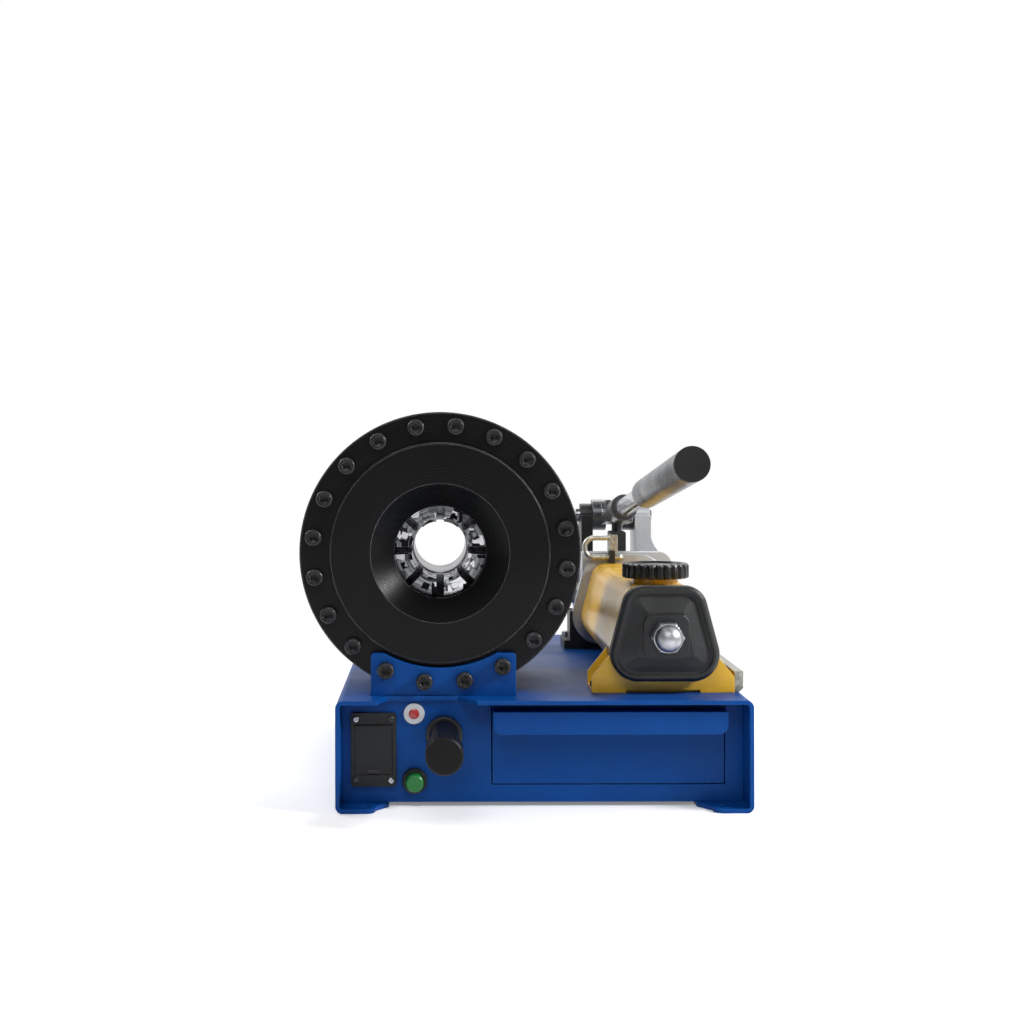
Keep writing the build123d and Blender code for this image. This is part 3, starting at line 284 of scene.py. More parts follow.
def build_handling():
    """Broad soft patches where a surface has been wiped, dusted or handled."""
    tree, wire, given, out = new_group("handling_marks", {"Scale": 14.0}, {"Mask": FLOAT})
    wide = wire.noise(given.outputs["Scale"], 5.0, wire.place())
    wire.join(wire.spread(wide, 0.36, 0.64), out.inputs["Mask"])
    return tree


def build_turning():
    """Lathe rings about an axis along Y through Centre."""
    tree, wire, given, out = new_group(
        "turning_rings",
        {"Pitch": 0.0006},
        {"Height": FLOAT, "Mask": FLOAT},
        [("Centre", (0.0, 0.0, 0.0))],
    )
    moved = wire.vector_math("SUBTRACT", wire.place(), given.outputs["Centre"])
    flat = wire.vector_math("MULTIPLY", moved.outputs["Vector"], (1.0, 0.0, 1.0))
    radius = wire.vector_math("LENGTH", flat.outputs["Vector"])
    turns = wire.math("DIVIDE", radius.outputs["Value"], given.outputs["Pitch"])
    wave = wire.math("SINE", wire.math("MULTIPLY", turns, 2 * math.pi))
    uneven = {"W": turns, "Scale": 0.33, "Detail": 3.0}
    rings = wire.add("ShaderNodeTexNoise", uneven, noise_dimensions="1D")
    blend = wire.math("ADD", wire.math("MULTIPLY", wave, 0.15), rings.outputs["Fac"])
    wire.join(blend, out.inputs["Height"])
    wire.join(wire.spread(rings.outputs["Fac"], 0.3, 0.7), out.inputs["Mask"])
    return tree


def build_brushing():
    """Straight hairlines; Stretch is small along them and large across them."""
    tree, wire, given, out = new_group(
        "brushed_lines",
        {"Scale": 300.0},
        {"Height": FLOAT, "Mask": FLOAT},
        [("Stretch", (1.0, 0.02, 1.0))],
    )
    drawn = wire.vector_math("MULTIPLY", wire.place(), given.outputs["Stretch"])
    lines = wire.noise(given.outputs["Scale"], 3.0, drawn.outputs["Vector"])
    wire.join(lines, out.inputs["Height"])
    wire.join(wire.spread(lines, 0.35, 0.65), out.inputs["Mask"])
    return tree


BUILDERS = {
    "coat_speckle": build_speckle,
    "edge_wear_and_highlight": build_edge_wear_and_highlight,
    "handling_marks": build_handling,
    "turning_rings": build_turning,
    "brushed_lines": build_brushing,
}


def effect(wire, name, inputs):
    """Places one of the shared effects in a material, and builds it at its first use."""
    tree = bpy.data.node_groups.get(name) or BUILDERS[name]()
    node = wire.add("ShaderNodeGroup", node_tree=tree)
    for key, value in inputs.items():
        node.inputs[key].default_value = value
    return node


def new_material(name, **sockets):
    made = bpy.data.materials.new(name)
    made.use_nodes = True
    wire = Wiring(made.node_tree)
    shader = made.node_tree.nodes["Principled BSDF"]
    for key, value in sockets.items():
        shader.inputs[key.replace("_", " ")].default_value = value
    return made, wire, shader


def emboss(wire, shader, strength, distance, height, normal=None):
    """Feeds a bump into the shader's normal."""
    inputs = {"Strength": strength, "Distance": distance, "Height": height}
    if normal is not None:
        inputs["Normal"] = normal
    skin = wire.add("ShaderNodeBump", inputs)
    wire.join(skin.outputs["Normal"], shader.inputs["Normal"])


def coated(
    name, base, edge, rough, grain=900.0, bump=0.12, wear_and_edge_highlight=0.6, width=0.0009, dust=0.12, fleck=0.04,
    **sockets
):
    """Paint, oxide or moulding: fine grain, broad handling marks and paler edges, partly wear and
    partly painted edge highlight.
    """
    made, wire, shader = new_material(name, **sockets)
    speckle = effect(wire, "coat_speckle", {"Scale": grain, "Contrast": 0.18})
    marks = effect(wire, "handling_marks", {"Scale": 16.0})
    worn_and_lit_edges = effect(wire, "edge_wear_and_highlight", {"Width": width, "Breakup": 0.45})
    dull = tuple(c * (1.0 + dust) + dust * 0.012 for c in base[:3]) + (1.0,)
    deep = tuple(c * (1.0 - dust) for c in base[:3]) + (1.0,)
    broad = wire.mix(marks.outputs["Mask"], deep, dull)
    flecks = wire.mix(wire.math("MULTIPLY", speckle.outputs["Mask"], fleck), broad, edge)
    # The pale edge colour mixed in at edges is partly edge wear and partly painted edge highlight.
    amount = wire.math("MULTIPLY", worn_and_lit_edges.outputs["Mask"], wear_and_edge_highlight)
    wire.join(wire.mix(amount, flecks, edge), shader.inputs["Base Color"])
    shine = wire.spread(marks.outputs["Mask"], 0.0, 1.0, rough * 0.88, min(1.0, rough * 1.14))
    wire.join(shine, shader.inputs["Roughness"])
    emboss(wire, shader, bump, 0.0004, speckle.outputs["Height"], worn_and_lit_edges.outputs["Normal"])
    return made


def machined(name, base, dark, rough, centre=None, pitch=0.0007, **sockets):
    """Bare metal with turning rings about a centre, or without one hairlines along Y."""
    made, wire, shader = new_material(name, **sockets)
    if centre is None:
        lines = effect(wire, "brushed_lines", {"Scale": 260.0, "Stretch": (1.0, 0.03, 1.0)})
    else:
        lines = effect(wire, "turning_rings", {"Pitch": pitch, "Centre": centre})
    marks = effect(wire, "handling_marks", {"Scale": 30.0})
    worn_and_lit_edges = effect(wire, "edge_wear_and_highlight", {"Width": 0.0006, "Breakup": 0.2})
    streaks = wire.mix(lines.outputs["Mask"], dark, base)
    darkened = wire.mix(wire.math("MULTIPLY", marks.outputs["Mask"], 0.35), streaks, dark)
    # Edges paler than the metal: partly rubbed bright, partly painted edge highlight.
    bright = tuple(min(1.0, c * 1.35) for c in base[:3]) + (1.0,)
    wire.join(wire.mix(worn_and_lit_edges.outputs["Mask"], darkened, bright), shader.inputs["Base Color"])
    shine = wire.spread(marks.outputs["Mask"], 0.0, 1.0, rough * 0.8, min(1.0, rough * 1.3))
    wire.join(shine, shader.inputs["Roughness"])
    emboss(wire, shader, 0.25, 0.0001, lines.outputs["Height"], worn_and_lit_edges.outputs["Normal"])
    return made


def clothe(made, *nodes):
    """Gives CAD nodes their finish."""
    for node in nodes:
        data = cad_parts[node].data
        data.materials.clear()
        data.materials.append(made)


# ---- mesh helpers -----------------------------------------------------------------


def mesh_piece(name, shape, finish, body, smooth_angle=35.0, replaces=()):
    """Turns a bmesh at its place in the shared frame into a piece that rides on a body."""
    bmesh.ops.recalc_face_normals(shape, faces=shape.faces)
    data = bpy.data.meshes.new(name)
    shape.to_mesh(data)
    shape.free()
    data.materials.append(finish)
    made = bpy.data.objects.new(name, data)
    bpy.context.scene.collection.objects.link(made)
    data.shade_smooth()
    data.set_sharp_from_angle(angle=math.radians(smooth_angle))
    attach(made, body)
    if replaces:
        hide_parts(*replaces)
    return made


def ring(shape, place, points):
    """A loop of vertices from (x, y) points in the place's own XY plane."""
    return [shape.verts.new(place @ Vector((x, y, 0.0))) for x, y in points]


def circle_points(radius, count):
    step = 2 * math.pi / count
    return [(radius * math.cos(step * n), radius * math.sin(step * n)) for n in range(count)]


def hexagon_points(across_flats, count, turn=0.0):
    """Points round a hexagon at even angles, so that it bridges to a circle."""
    made = []
    for n in range(count):
        a = 2 * math.pi * n / count
        local = (a + math.pi / 6) % (math.pi / 3) - math.pi / 6
        r = across_flats / 2 / math.cos(local)
        made.append((r * math.cos(a + turn), r * math.sin(a + turn)))
    return made


def bridge(shape, *loops):
    """Joins loops of equal count, each to the next, with a band of faces."""
    for first, second in zip(loops, loops[1:]):
        count = len(first)
        for n in range(count):
            m = (n + 1) % count
            shape.faces.new((first[n], first[m], second[m], second[n]))


def close_to_point(shape, loop, point):
    """Closes a loop with a fan of faces to one point."""
    tip = shape.verts.new(point)
    for n, vert in enumerate(loop):
        shape.faces.new((vert, loop[(n + 1) % len(loop)], tip))


def raised(place, height):
    """The same place, moved along its own Z axis."""
    return place @ Matrix.Translation((0.0, 0.0, height))


def front_place(x, depth, z):
    """A place whose Z axis points out of the machine's front."""
    turn = Matrix(((1, 0, 0), (0, 0, -1), (0, 1, 0))).to_4x4()
    return Matrix.Translation((x, BASE_FRONT + depth, z)) @ turn


# ---- pieces -----------------------------------------------------------------------


def black_oxide(name, paint):
    """Plain black oxide of the cylinder and the small steel pieces."""
    return coated(
        name, paint.black, paint.black_edge_wear_and_highlight, 0.42, grain=1500.0, bump=0.1, wear_and_edge_highlight=0.5, width=0.0008
    )


class CRIMPER_OT_base(bpy.types.Operator):
    """Powder coated base, front plate, head foot and drawer, with zinc plated runners and bar"""

    bl_idname = "crimper.base"
    bl_label = "Base and drawer"

    def execute(self, context):
        paint = context.scene.crimper_paint
        coat = coated(
            "blue_powder_coat", paint.blue, paint.blue_edge_wear_and_highlight, 0.4, grain=620.0, bump=0.2,
            wear_and_edge_highlight=paint.wear_and_edge_highlight, width=0.0014, fleck=0.03, dust=0.06, Specular_IOR_Level=0.14
        )
        clothe(coat, "base_wrap", "front_plate", "head_foot", "drawer")
        zinc = machined("zinc_plate", srgb(190, 190, 178), srgb(140, 140, 132), 0.34, Metallic=1.0)
        clothe(zinc, "drawer_runners", "side_bar")
        return {"FINISHED"}


class CRIMPER_OT_head(bpy.types.Operator):
    """Turned flange, black cylinder, bright guide tube and piston, rubber seal"""

    bl_idname = "crimper.head"
    bl_label = "Crimping head"

    def execute(self, context):
        paint = context.scene.crimper_paint
        centre = (HEAD_X, 0.0, HEAD_Z)
        made, wire, shader = new_material("turned_black_oxide", Specular_IOR_Level=0.18)
        rings = effect(wire, "turning_rings", {"Pitch": 0.0005, "Centre": centre})
        marks = effect(wire, "handling_marks", {"Scale": 9.0})
        worn_and_lit_edges = effect(wire, "edge_wear_and_highlight", {"Width": 0.0009, "Breakup": 0.3})
        deep = tuple(c * 0.8 for c in paint.black[:3]) + (1.0,)
        broad = wire.mix(marks.outputs["Mask"], deep, paint.black)
        # Pale steel at the flange's edges: partly worn oxide, partly painted highlight on the
        # chamfers.
        edged = wire.mix(worn_and_lit_edges.outputs["Mask"], broad, paint.black_edge_wear_and_highlight)
        wire.join(edged, shader.inputs["Base Color"])
        shine = wire.spread(rings.outputs["Mask"], 0.0, 1.0, 0.25, 0.29)
        wire.join(shine, shader.inputs["Roughness"])
        emboss(wire, shader, 0.08, 0.0002, rings.outputs["Height"], worn_and_lit_edges.outputs["Normal"])
        clothe(made, "front_flange")
        clothe(black_oxide("cylinder_black", paint), "cylinder_barrel")
        bright = machined(
            "bored_steel", srgb(196, 198, 202), srgb(120, 122, 126), 0.24, centre=centre,
            Metallic=1.0
        )
        clothe(bright, "guide_tube", "piston")
        rubber = coated(
            "seal_rubber", srgb(24, 24, 25), srgb(60, 60, 62), 0.6, grain=1200.0, wear_and_edge_highlight=0.2
        )
        clothe(rubber, "piston_seal")
        return {"FINISHED"}


class CRIMPER_OT_dies(bpy.types.Operator):
    """Eight die shoes of turned steel and eight ground dies"""

    bl_idname = "crimper.dies"
    bl_label = "Die shoes and dies"

    def execute(self, context):
        centre = (HEAD_X, 0.0, HEAD_Z)
        die = self.die_steel(centre)
        shoe = machined(
            "shoe_steel", srgb(150, 152, 156), srgb(58, 60, 64), 0.3, centre=centre, pitch=0.0022,
            Metallic=1.0
        )
        for n in range(1, 9):
            clothe(die, f"die_{n}")
            clothe(shoe, f"die_shoe_{n}")
        return {"FINISHED"}

    @staticmethod
    def die_steel(centre):
        """Ground steel with turned steps, blocky near black patches of painted shade, blocky near
        white patches of painted highlight, and paler edges.
        """
        made, wire, shader = new_material("ground_die_steel", Metallic=1.0)
        rings = effect(wire, "turning_rings", {"Pitch": 0.0016, "Centre": centre})
        worn_and_lit_edges = effect(wire, "edge_wear_and_highlight", {"Width": 0.0006, "Breakup": 0.2})
        cells = {"Vector": wire.place(), "Scale": 130.0}
        blocks = wire.add("ShaderNodeTexVoronoi", cells, distance="CHEBYCHEV")
        tone = wire.add("ShaderNodeSeparateColor", {0: blocks.outputs["Color"]}).outputs["Red"]
        # Blocky near black patches, put where the die faces show shaded recesses: painted shade.
        painted_recess_shade = wire.spread(tone, 0.52, 0.72)
        streaks = wire.mix(rings.outputs["Mask"], srgb(96, 98, 101), srgb(172, 174, 178))
        darkened = wire.mix(painted_recess_shade, streaks, srgb(30, 31, 34))
        # Blocky near white patches: painted highlight.
        painted_highlight_blocks = wire.mix(wire.spread(tone, 0.2, 0.1), darkened, srgb(244, 245, 248))
        # Paler edges: partly wear, partly painted edge highlight.
        rubbed_and_lit_edges = wire.mix(worn_and_lit_edges.outputs["Mask"], painted_highlight_blocks, srgb(232, 233, 236))
        wire.join(rubbed_and_lit_edges, shader.inputs["Base Color"])
        wire.join(wire.spread(tone, 0.0, 1.0, 0.14, 0.36), shader.inputs["Roughness"])
        emboss(wire, shader, 0.4, 0.0001, rings.outputs["Height"], worn_and_lit_edges.outputs["Normal"])
        return made


class CRIMPER_OT_flange_screws(bpy.types.Operator):
    """Twenty socket head cap screws with chamfered, knurled heads"""

    bl_idname = "crimper.flange_screws"
    bl_label = "Flange screws"

    def execute(self, context):
        sizes = context.scene.crimper_fasteners
        low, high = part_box("flange_screws")
        measured = (high.z - low.z - sizes.head_d) / 2
        if not math.isclose(measured, SCREW_CIRCLE, abs_tol=0.01):
            raise RuntimeError(f"the screw circle measures {measured:.4f} m")
        # The strong pale edge colour paints the heads' lighter rims: partly wear, partly painted
        # edge highlight.
        finish = coated(
            "screw_black", srgb(22, 22, 24), srgb(150, 150, 154), 0.34, grain=2200.0, wear_and_edge_highlight=0.9,
            width=0.0008, Metallic=0.5
        )
        shape = bmesh.new()
        for n in range(SCREW_COUNT):
            a = math.radians(FIRST_SCREW_DEG + 360.0 / SCREW_COUNT * n)
            x = SCREW_CIRCLE * math.cos(a)
            z = SCREW_CIRCLE * math.sin(a)
            on_tab = z < TAB_TOP and TAB_LEFT < x < TAB_RIGHT
            seat = TAB_SEAT_DEPTH if on_tab else FLANGE_SEAT_DEPTH
            place = front_place(HEAD_X + x, seat, HEAD_Z + z)
            turn = Matrix.Rotation(math.radians(SOCKET_TURN_DEG * n), 4, "Z")
            self.cap_screw(shape, place @ turn, sizes)
        mesh_piece("cap_screws", shape, finish, "frame", replaces=["flange_screws"])
        return {"FINISHED"}

    @staticmethod
    def cap_screw(shape, place, sizes):
        """Head with a knurled side, a bevelled rim and a hex socket with a cone at its foot."""
        count = 60
        knurl = 0.00025
        shank_r = 0.005
        shank_foot = -0.004
        head_r = sizes.head_d / 2
        smooth_r = head_r - 0.0003
        top = sizes.head_h
        knurl_foot = 0.0008
        knurl_top = top - 0.0022
        band_foot = top - 0.0020
        socket_rim = sizes.socket_af / 2 * 1.22
        socket_bevel = 0.0005
        socket_depth = 0.0055
        cone_depth = 0.0072

        def round_ring(radius, height, tooth=0.0):
            points = []
            for n, (x, y) in enumerate(circle_points(1.0, count)):
                cut = tooth if n % 2 else 0.0
                points.append((x * (radius - cut), y * (radius - cut)))
            return ring(shape, raised(place, height), points)

        loops = [
            round_ring(shank_r, shank_foot),
            round_ring(shank_r, 0.0),
            round_ring(smooth_r, 0.0),
            round_ring(head_r, knurl_foot, knurl),
            round_ring(head_r, knurl_top, knurl),
            round_ring(smooth_r, band_foot),
            round_ring(smooth_r, top - sizes.chamfer),
            round_ring(smooth_r - sizes.chamfer, top),
            round_ring(socket_rim, top),
        ]
        for depth in (socket_bevel, socket_depth):
            corners = hexagon_points(sizes.socket_af, count)
            loops.append(ring(shape, raised(place, top - depth), corners))
        bridge(shape, *loops)
        close_to_point(shape, loops[-1], place @ Vector((0.0, 0.0, top - cone_depth)))
        shape.faces.new(loops[0])


class CRIMPER_OT_controls(bpy.types.Operator):
    """Battery case, lamp, button, knob and the screws of the case"""

    bl_idname = "crimper.controls"
    bl_label = "Control panel"

    def execute(self, context):
        paint = context.scene.crimper_paint
        sizes = context.scene.crimper_fasteners
        moulded = coated(
            "moulded_plastic", paint.plastic, srgb(92, 94, 98), 0.42, grain=1300.0, bump=0.16,
            wear_and_edge_highlight=0.45, width=0.0007, Specular_IOR_Level=0.3
        )
        clothe(moulded, "battery_housing", "battery_door", "button_body", "limit_switch")
        # The paler edge colour stands partly for wear and partly for painted edge highlight on the
        # knob.
        knob = coated(
            "knob_black", srgb(7, 7, 8), srgb(90, 90, 92), 0.45, grain=1600.0, bump=0.1, wear_and_edge_highlight=0.4,
            width=0.0006, fleck=0.01, Specular_IOR_Level=0.2
        )
        clothe(knob, "diameter_knob")
        clothe(black_oxide("bush_black", paint), "knob_bush")
        spindle = machined(
            "spindle_steel", srgb(180, 182, 186), srgb(120, 122, 126), 0.28, Metallic=1.0
        )
        clothe(spindle, "stop_spindle")
        jacket = coated("cell_jacket", srgb(44, 46, 50), srgb(110, 112, 116), 0.36, grain=700.0)
        clothe(jacket, "battery_cells")
        pale = coated(
            "bezel_plastic", paint.bezel, srgb(232, 236, 240), 0.32, grain=1400.0, bump=0.05,
            wear_and_edge_highlight=0.3, dust=0.05
        )
        clothe(pale, "indicator_bezel")
        clothe(self.lens_red(paint), "indicator_lens")
        green = coated(
            "button_green", paint.button, srgb(70, 160, 84), 0.34, grain=1300.0, bump=0.06,
            wear_and_edge_highlight=0.5, width=0.0012
        )
        clothe(green, "button_cap")
        self.case_screws(sizes)
        return {"FINISHED"}

    @staticmethod
    def lens_red(paint):
        """Red lens with a ribbed inside that shows as fine rings."""
        made, wire, shader = new_material("lens_red", Coat_Weight=0.6, Coat_Roughness=0.08)
        rings = effect(wire, "turning_rings", {"Pitch": 0.0011, "Centre": (LAMP_X, 0.0, LAMP_Z)})
        pale = tuple(min(1.0, c * 1.6 + 0.01) for c in paint.lens[:3]) + (1.0,)
        wire.join(wire.mix(rings.outputs["Mask"], paint.lens, pale), shader.inputs["Base Color"])
        shine = wire.spread(rings.outputs["Mask"], 0.0, 1.0, 0.2, 0.4)
        wire.join(shine, shader.inputs["Roughness"])
        emboss(wire, shader, 0.4, 0.0002, rings.outputs["Height"])
        return made

    @staticmethod
    def case_screws(sizes):
        """Four cross recess screws at the battery case's corners: one pair in a pale finish as
        painted highlight, one pair in a dark finish as painted shade.
        """
        bright = machined(
            "case_screw_painted_highlight", srgb(214, 216, 218), srgb(150, 152, 156), 0.22, Metallic=1.0
        )
        dark = coated(
            "case_screw_painted_shade", srgb(58, 60, 63), srgb(130, 132, 136), 0.4, grain=1800.0,
            Metallic=0.5
        )
        # Alike screws made as a lit copy and a shaded copy: painted highlight and painted shade.
        for label, finish, corners, replaced in (
            ("case_screws_painted_highlight", bright, ((-1, 1), (1, -1)), ["panel_screws"]),
            ("case_screws_painted_shade", dark, ((1, 1), (-1, -1)), []),
        ):
            shape = bmesh.new()
            for side, end in corners:
                x = CASE_X + side * CASE_SCREW_X
                z = CASE_Z + end * CASE_SCREW_Z
                turn = Matrix.Rotation(0.5 * side + 0.3 * end, 4, "Z")
                cross_screw(shape, front_place(x, CASE_FACE_DEPTH, z) @ turn, sizes.panel_d / 2)
            mesh_piece(label, shape, finish, "frame", replaces=replaced)


def cross_screw(shape, place, radius):
    """A low domed head with a cross recess."""
    count = 32
    foot = -0.0002
    top = 0.0018
    recess_foot = 0.0006
    recess_tip = 0.0004
    profile = [
        (radius * 0.6, foot),
        (radius, foot),
        (radius, 0.0007),
        (radius * 0.93, 0.0013),
        (radius * 0.75, 0.0017),
        (radius * 0.62, top),
    ]
    loops = [ring(shape, raised(place, z), circle_points(r, count)) for r, z in profile]
    bridge(shape, *loops)
    shape.faces.new(loops[0])
    arm = radius * 0.5
    half = radius * 0.13
    outline = []
    for quarter in range(4):
        turn = Matrix.Rotation(quarter * math.pi / 2, 2)
        for x, y in ((half, -half), (arm, -half), (arm, half)):
            spun = turn @ Vector((x, y))
            outline.append((spun.x, spun.y))
    outline.sort(key=lambda p: math.atan2(p[1], p[0]))
    upper = ring(shape, raised(place, top), outline)
    lower = ring(shape, raised(place, recess_foot), [(x * 0.7, y * 0.7) for x, y in outline])
    bridge(shape, upper, lower)
    close_to_point(shape, lower, place @ Vector((0.0, 0.0, recess_tip)))
    edges = []
    for loop in (loops[-1], upper):
        for n, vert in enumerate(loop):
            edges.append(shape.edges.get((vert, loop[(n + 1) % len(loop)])))
    bmesh.ops.triangle_fill(shape, edges=edges, use_beauty=True)


class CRIMPER_OT_pump(bpy.types.Operator):
    """Reservoir, saddle and bolts, end cap, dome nut and filler cap"""

    bl_idname = "crimper.pump"
    bl_label = "Hand pump body"

    def execute(self, context):
        paint = context.scene.crimper_paint
        enamel = coated(
            "yellow_enamel", paint.yellow, paint.yellow_edge_wear_and_highlight, 0.3, grain=420.0, bump=0.1, wear_and_edge_highlight=0.5,
            width=0.0012, Specular_IOR_Level=0.35, Coat_Weight=0.25, Coat_Roughness=0.18
        )
        clothe(enamel, "reservoir", "pump_saddle")
        cap = coated(
            "cast_end_cap", srgb(22, 24, 25), srgb(84, 86, 88), 0.46, grain=520.0, bump=0.6,
            wear_and_edge_highlight=0.25, width=0.0018
        )
        clothe(cap, "reservoir_end_cap")
        nut = machined(
            "dome_nut_steel", srgb(216, 218, 222), srgb(150, 152, 156), 0.42,
            centre=(PUMP_X, 0.0, DOME_NUT_Z), Metallic=1.0
        )
        self.dome_nut(context.scene.crimper_fasteners, nut)
        zinc = machined("bolt_zinc", srgb(190, 190, 180), srgb(130, 130, 124), 0.32, Metallic=1.0)
        clothe(zinc, "pump_bolts")
        self.filler_cap()
        return {"FINISHED"}

    @staticmethod
    def dome_nut(sizes, finish):
        """Tie rod with a domed hex nut: a collar, bevelled corners and a full dome."""
        count = 72
        dome_steps = 12
        rod_r = 0.006
        collar_h = 0.004
        half = sizes.nut_af / 2
        dome_r = sizes.dome_d / 2
        low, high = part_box("tie_bolt")
        tip = low.y - BASE_FRONT
        seat = tip + sizes.nut_h + dome_r
        rod_end = seat - (high.y - BASE_FRONT)
        place = front_place(PUMP_X, seat, (low.z + high.z) / 2)
        shape = bmesh.new()

        def round_ring(radius, height):
            return ring(shape, raised(place, height), circle_points(radius, count))

        loops = [
            round_ring(rod_r, rod_end),
            round_ring(rod_r, -collar_h),
            round_ring(half - 0.001, -collar_h),
        ]
        bevels = (
            (0.0, half * 1.06),
            (0.0011, half * 1.2),
            (sizes.nut_h - 0.0022, half * 1.2),
            (sizes.nut_h, half),
        )
        for z, limit in bevels:
            points = []
            for x, y in hexagon_points(sizes.nut_af, count, turn=math.radians(30.0)):
                k = min(1.0, limit / math.hypot(x, y))
                points.append((x * k, y * k))
            loops.append(ring(shape, raised(place, z), points))
        for step in range(dome_steps):
            a = math.pi / 2 * step / dome_steps
            loops.append(round_ring(dome_r * math.cos(a), sizes.nut_h + dome_r * math.sin(a)))
        bridge(shape, *loops)
        shape.faces.new(loops[0])
        close_to_point(shape, loops[-1], place @ Vector((0.0, 0.0, sizes.nut_h + dome_r)))
        mesh_piece(
            "dome_nut", shape, finish, "frame", smooth_angle=28.0,
            replaces=["tie_bolt"]
        )

    @staticmethod
    def filler_cap():
        """Fluted screw cap with a rolled rim and a dished top."""
        finish = coated(
            "filler_cap_black", srgb(20, 20, 21), srgb(112, 114, 116), 0.3, grain=1100.0, bump=0.2,
            wear_and_edge_highlight=0.5, width=0.0008
        )
        flutes = 24
        per_flute = 10
        count = flutes * per_flute
        neck_r = 0.0149
        neck_foot = 0.2015
        bottom = 0.2116
        low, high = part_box("fill_cap")
        radius = (high.x - low.x) / 2
        top = high.z
        centre = Vector(((low.x + high.x) / 2, (low.y + high.y) / 2, 0.0))
        shape = bmesh.new()

        def fluted(r, z, depth):
            points = []
            for n in range(count):
                phase = (n % per_flute) / per_flute
                notch = max(0.0, math.cos((phase - 0.5) * 2 * math.pi)) ** 1.4
                cut_r = r - depth * notch
                a = 2 * math.pi * n / count
                points.append((cut_r * math.cos(a), cut_r * math.sin(a)))
            return ring(shape, Matrix.Translation(centre + Vector((0.0, 0.0, z))), points)

        loops = [
            fluted(neck_r, neck_foot, 0.0),
            fluted(neck_r, bottom, 0.0),
            fluted(radius - 0.0012, bottom, 0.0022),
            fluted(radius, bottom + 0.0012, 0.0026),
            fluted(radius, top - 0.0024, 0.0026),
            fluted(radius - 0.0008, top - 0.0008, 0.0022),
            fluted(radius - 0.0024, top, 0.0010),
            fluted(radius - 0.0065, top, 0.0),
            fluted(radius - 0.0078, top - 0.0018, 0.0),
            fluted(radius - 0.0200, top - 0.0020, 0.0),
            fluted(radius - 0.0210, top - 0.0012, 0.0),
            fluted(radius - 0.0280, top - 0.0011, 0.0),
        ]
        bridge(shape, *loops)
        shape.faces.new(loops[0])
        shape.faces.new(list(reversed(loops[-1])))
        mesh_piece("filler_cap", shape, finish, "fill_cap", replaces=["fill_cap"])


class CRIMPER_OT_pump_head(bpy.types.Operator):
    """Pump casting with its foot, fulcrum, plunger, release knob and bent pipe"""

    bl_idname = "crimper.pump_head"
    bl_label = "Pump head"

    def execute(self, context):
        paint = context.scene.crimper_paint
        cast = coated(
            "cast_alloy", srgb(186, 189, 192), srgb(226, 228, 230), 0.4, grain=380.0, bump=0.5,
            wear_and_edge_highlight=0.6, width=0.0014, Metallic=0.55
        )
        clothe(cast, "pump_head")
        black = black_oxide("pump_black", paint)
        clothe(black, "pump_foot", "fulcrum_lug", "plunger_gland", "pipe_clip", "pump_plunger")
        pin = machined("pin_steel", srgb(205, 207, 210), srgb(140, 142, 146), 0.22, Metallic=1.0)
        clothe(pin, "pivot_pin")
        pipe = machined("pipe_nickel", srgb(226, 225, 216), srgb(168, 166, 154), 0.26, Metallic=0.8)
        clothe(pipe, "pressure_pipe")
        knob = coated(
            "release_knob_black", srgb(28, 28, 30), srgb(104, 106, 108), 0.42, grain=1000.0,
            bump=0.3
        )
        clothe(knob, "release_knob")
        return {"FINISHED"}


class CRIMPER_OT_lever(bpy.types.Operator):
    """Hand lever: steel fork and link pin, bright rod with a grained sleeve, end plug"""

    bl_idname = "crimper.lever"
    bl_label = "Hand lever"

    def execute(self, context):
        # Pale edges on the darker fork: partly wear, partly painted edge highlight.
        fork = coated(
            "fork_steel", srgb(96, 98, 100), srgb(214, 216, 218), 0.3, grain=500.0, bump=0.3,
            wear_and_edge_highlight=0.7, Metallic=0.8
        )
        clothe(fork, "lever_yoke")
        link = machined("link_steel", srgb(200, 202, 206), srgb(130, 132, 136), 0.24, Metallic=1.0)
        clothe(link, "link_pin")
        clothe(self.lever_steel(), "lever_rod")
        plug = coated(
            "plug_black", srgb(14, 14, 15), srgb(60, 60, 62), 0.42, grain=900.0, bump=0.08
        )
        clothe(plug, "grip_plug")
        return {"FINISHED"}

    @staticmethod
    def lever_steel():
        """Polished rod behind the sleeve's end, and pitted, duller steel on the sleeve."""
        made, wire, shader = new_material("lever_steel", Metallic=0.95)
        along = wire.add("ShaderNodeSeparateXYZ", {0: wire.place()}).outputs["Y"]
        sleeve = wire.math("LESS_THAN", along, BASE_FRONT + SLEEVE_END_DEPTH)
        pits = effect(wire, "coat_speckle", {"Scale": 420.0, "Contrast": 0.3})
        lines = effect(wire, "brushed_lines", {"Scale": 240.0, "Stretch": (1.0, 0.02, 1.0)})
        marks = effect(wire, "handling_marks", {"Scale": 22.0})
        worn_and_lit_edges = effect(wire, "edge_wear_and_highlight", {"Width": 0.0008, "Breakup": 0.2})
        grained = wire.mix(pits.outputs["Mask"], srgb(70, 72, 75), srgb(168, 170, 173))
        drawn = wire.mix(lines.outputs["Mask"], srgb(146, 148, 151), srgb(212, 214, 217))
        bare = wire.mix(sleeve, drawn, grained)
        # Pale edges: partly rubbed steel, partly painted edge highlight.
        edged = wire.mix(worn_and_lit_edges.outputs["Mask"], bare, srgb(225, 226, 228))
        wire.join(edged, shader.inputs["Base Color"])
        polish = wire.spread(marks.outputs["Mask"], 0.0, 1.0, 0.14, 0.26)
        dulled = wire.math("ADD", polish, wire.math("MULTIPLY", sleeve, 0.16))
        wire.join(dulled, shader.inputs["Roughness"])
        pitted = wire.math("MULTIPLY", pits.outputs["Height"], sleeve)
        emboss(wire, shader, 0.16, 0.0003, pitted, worn_and_lit_edges.outputs["Normal"])
        return made


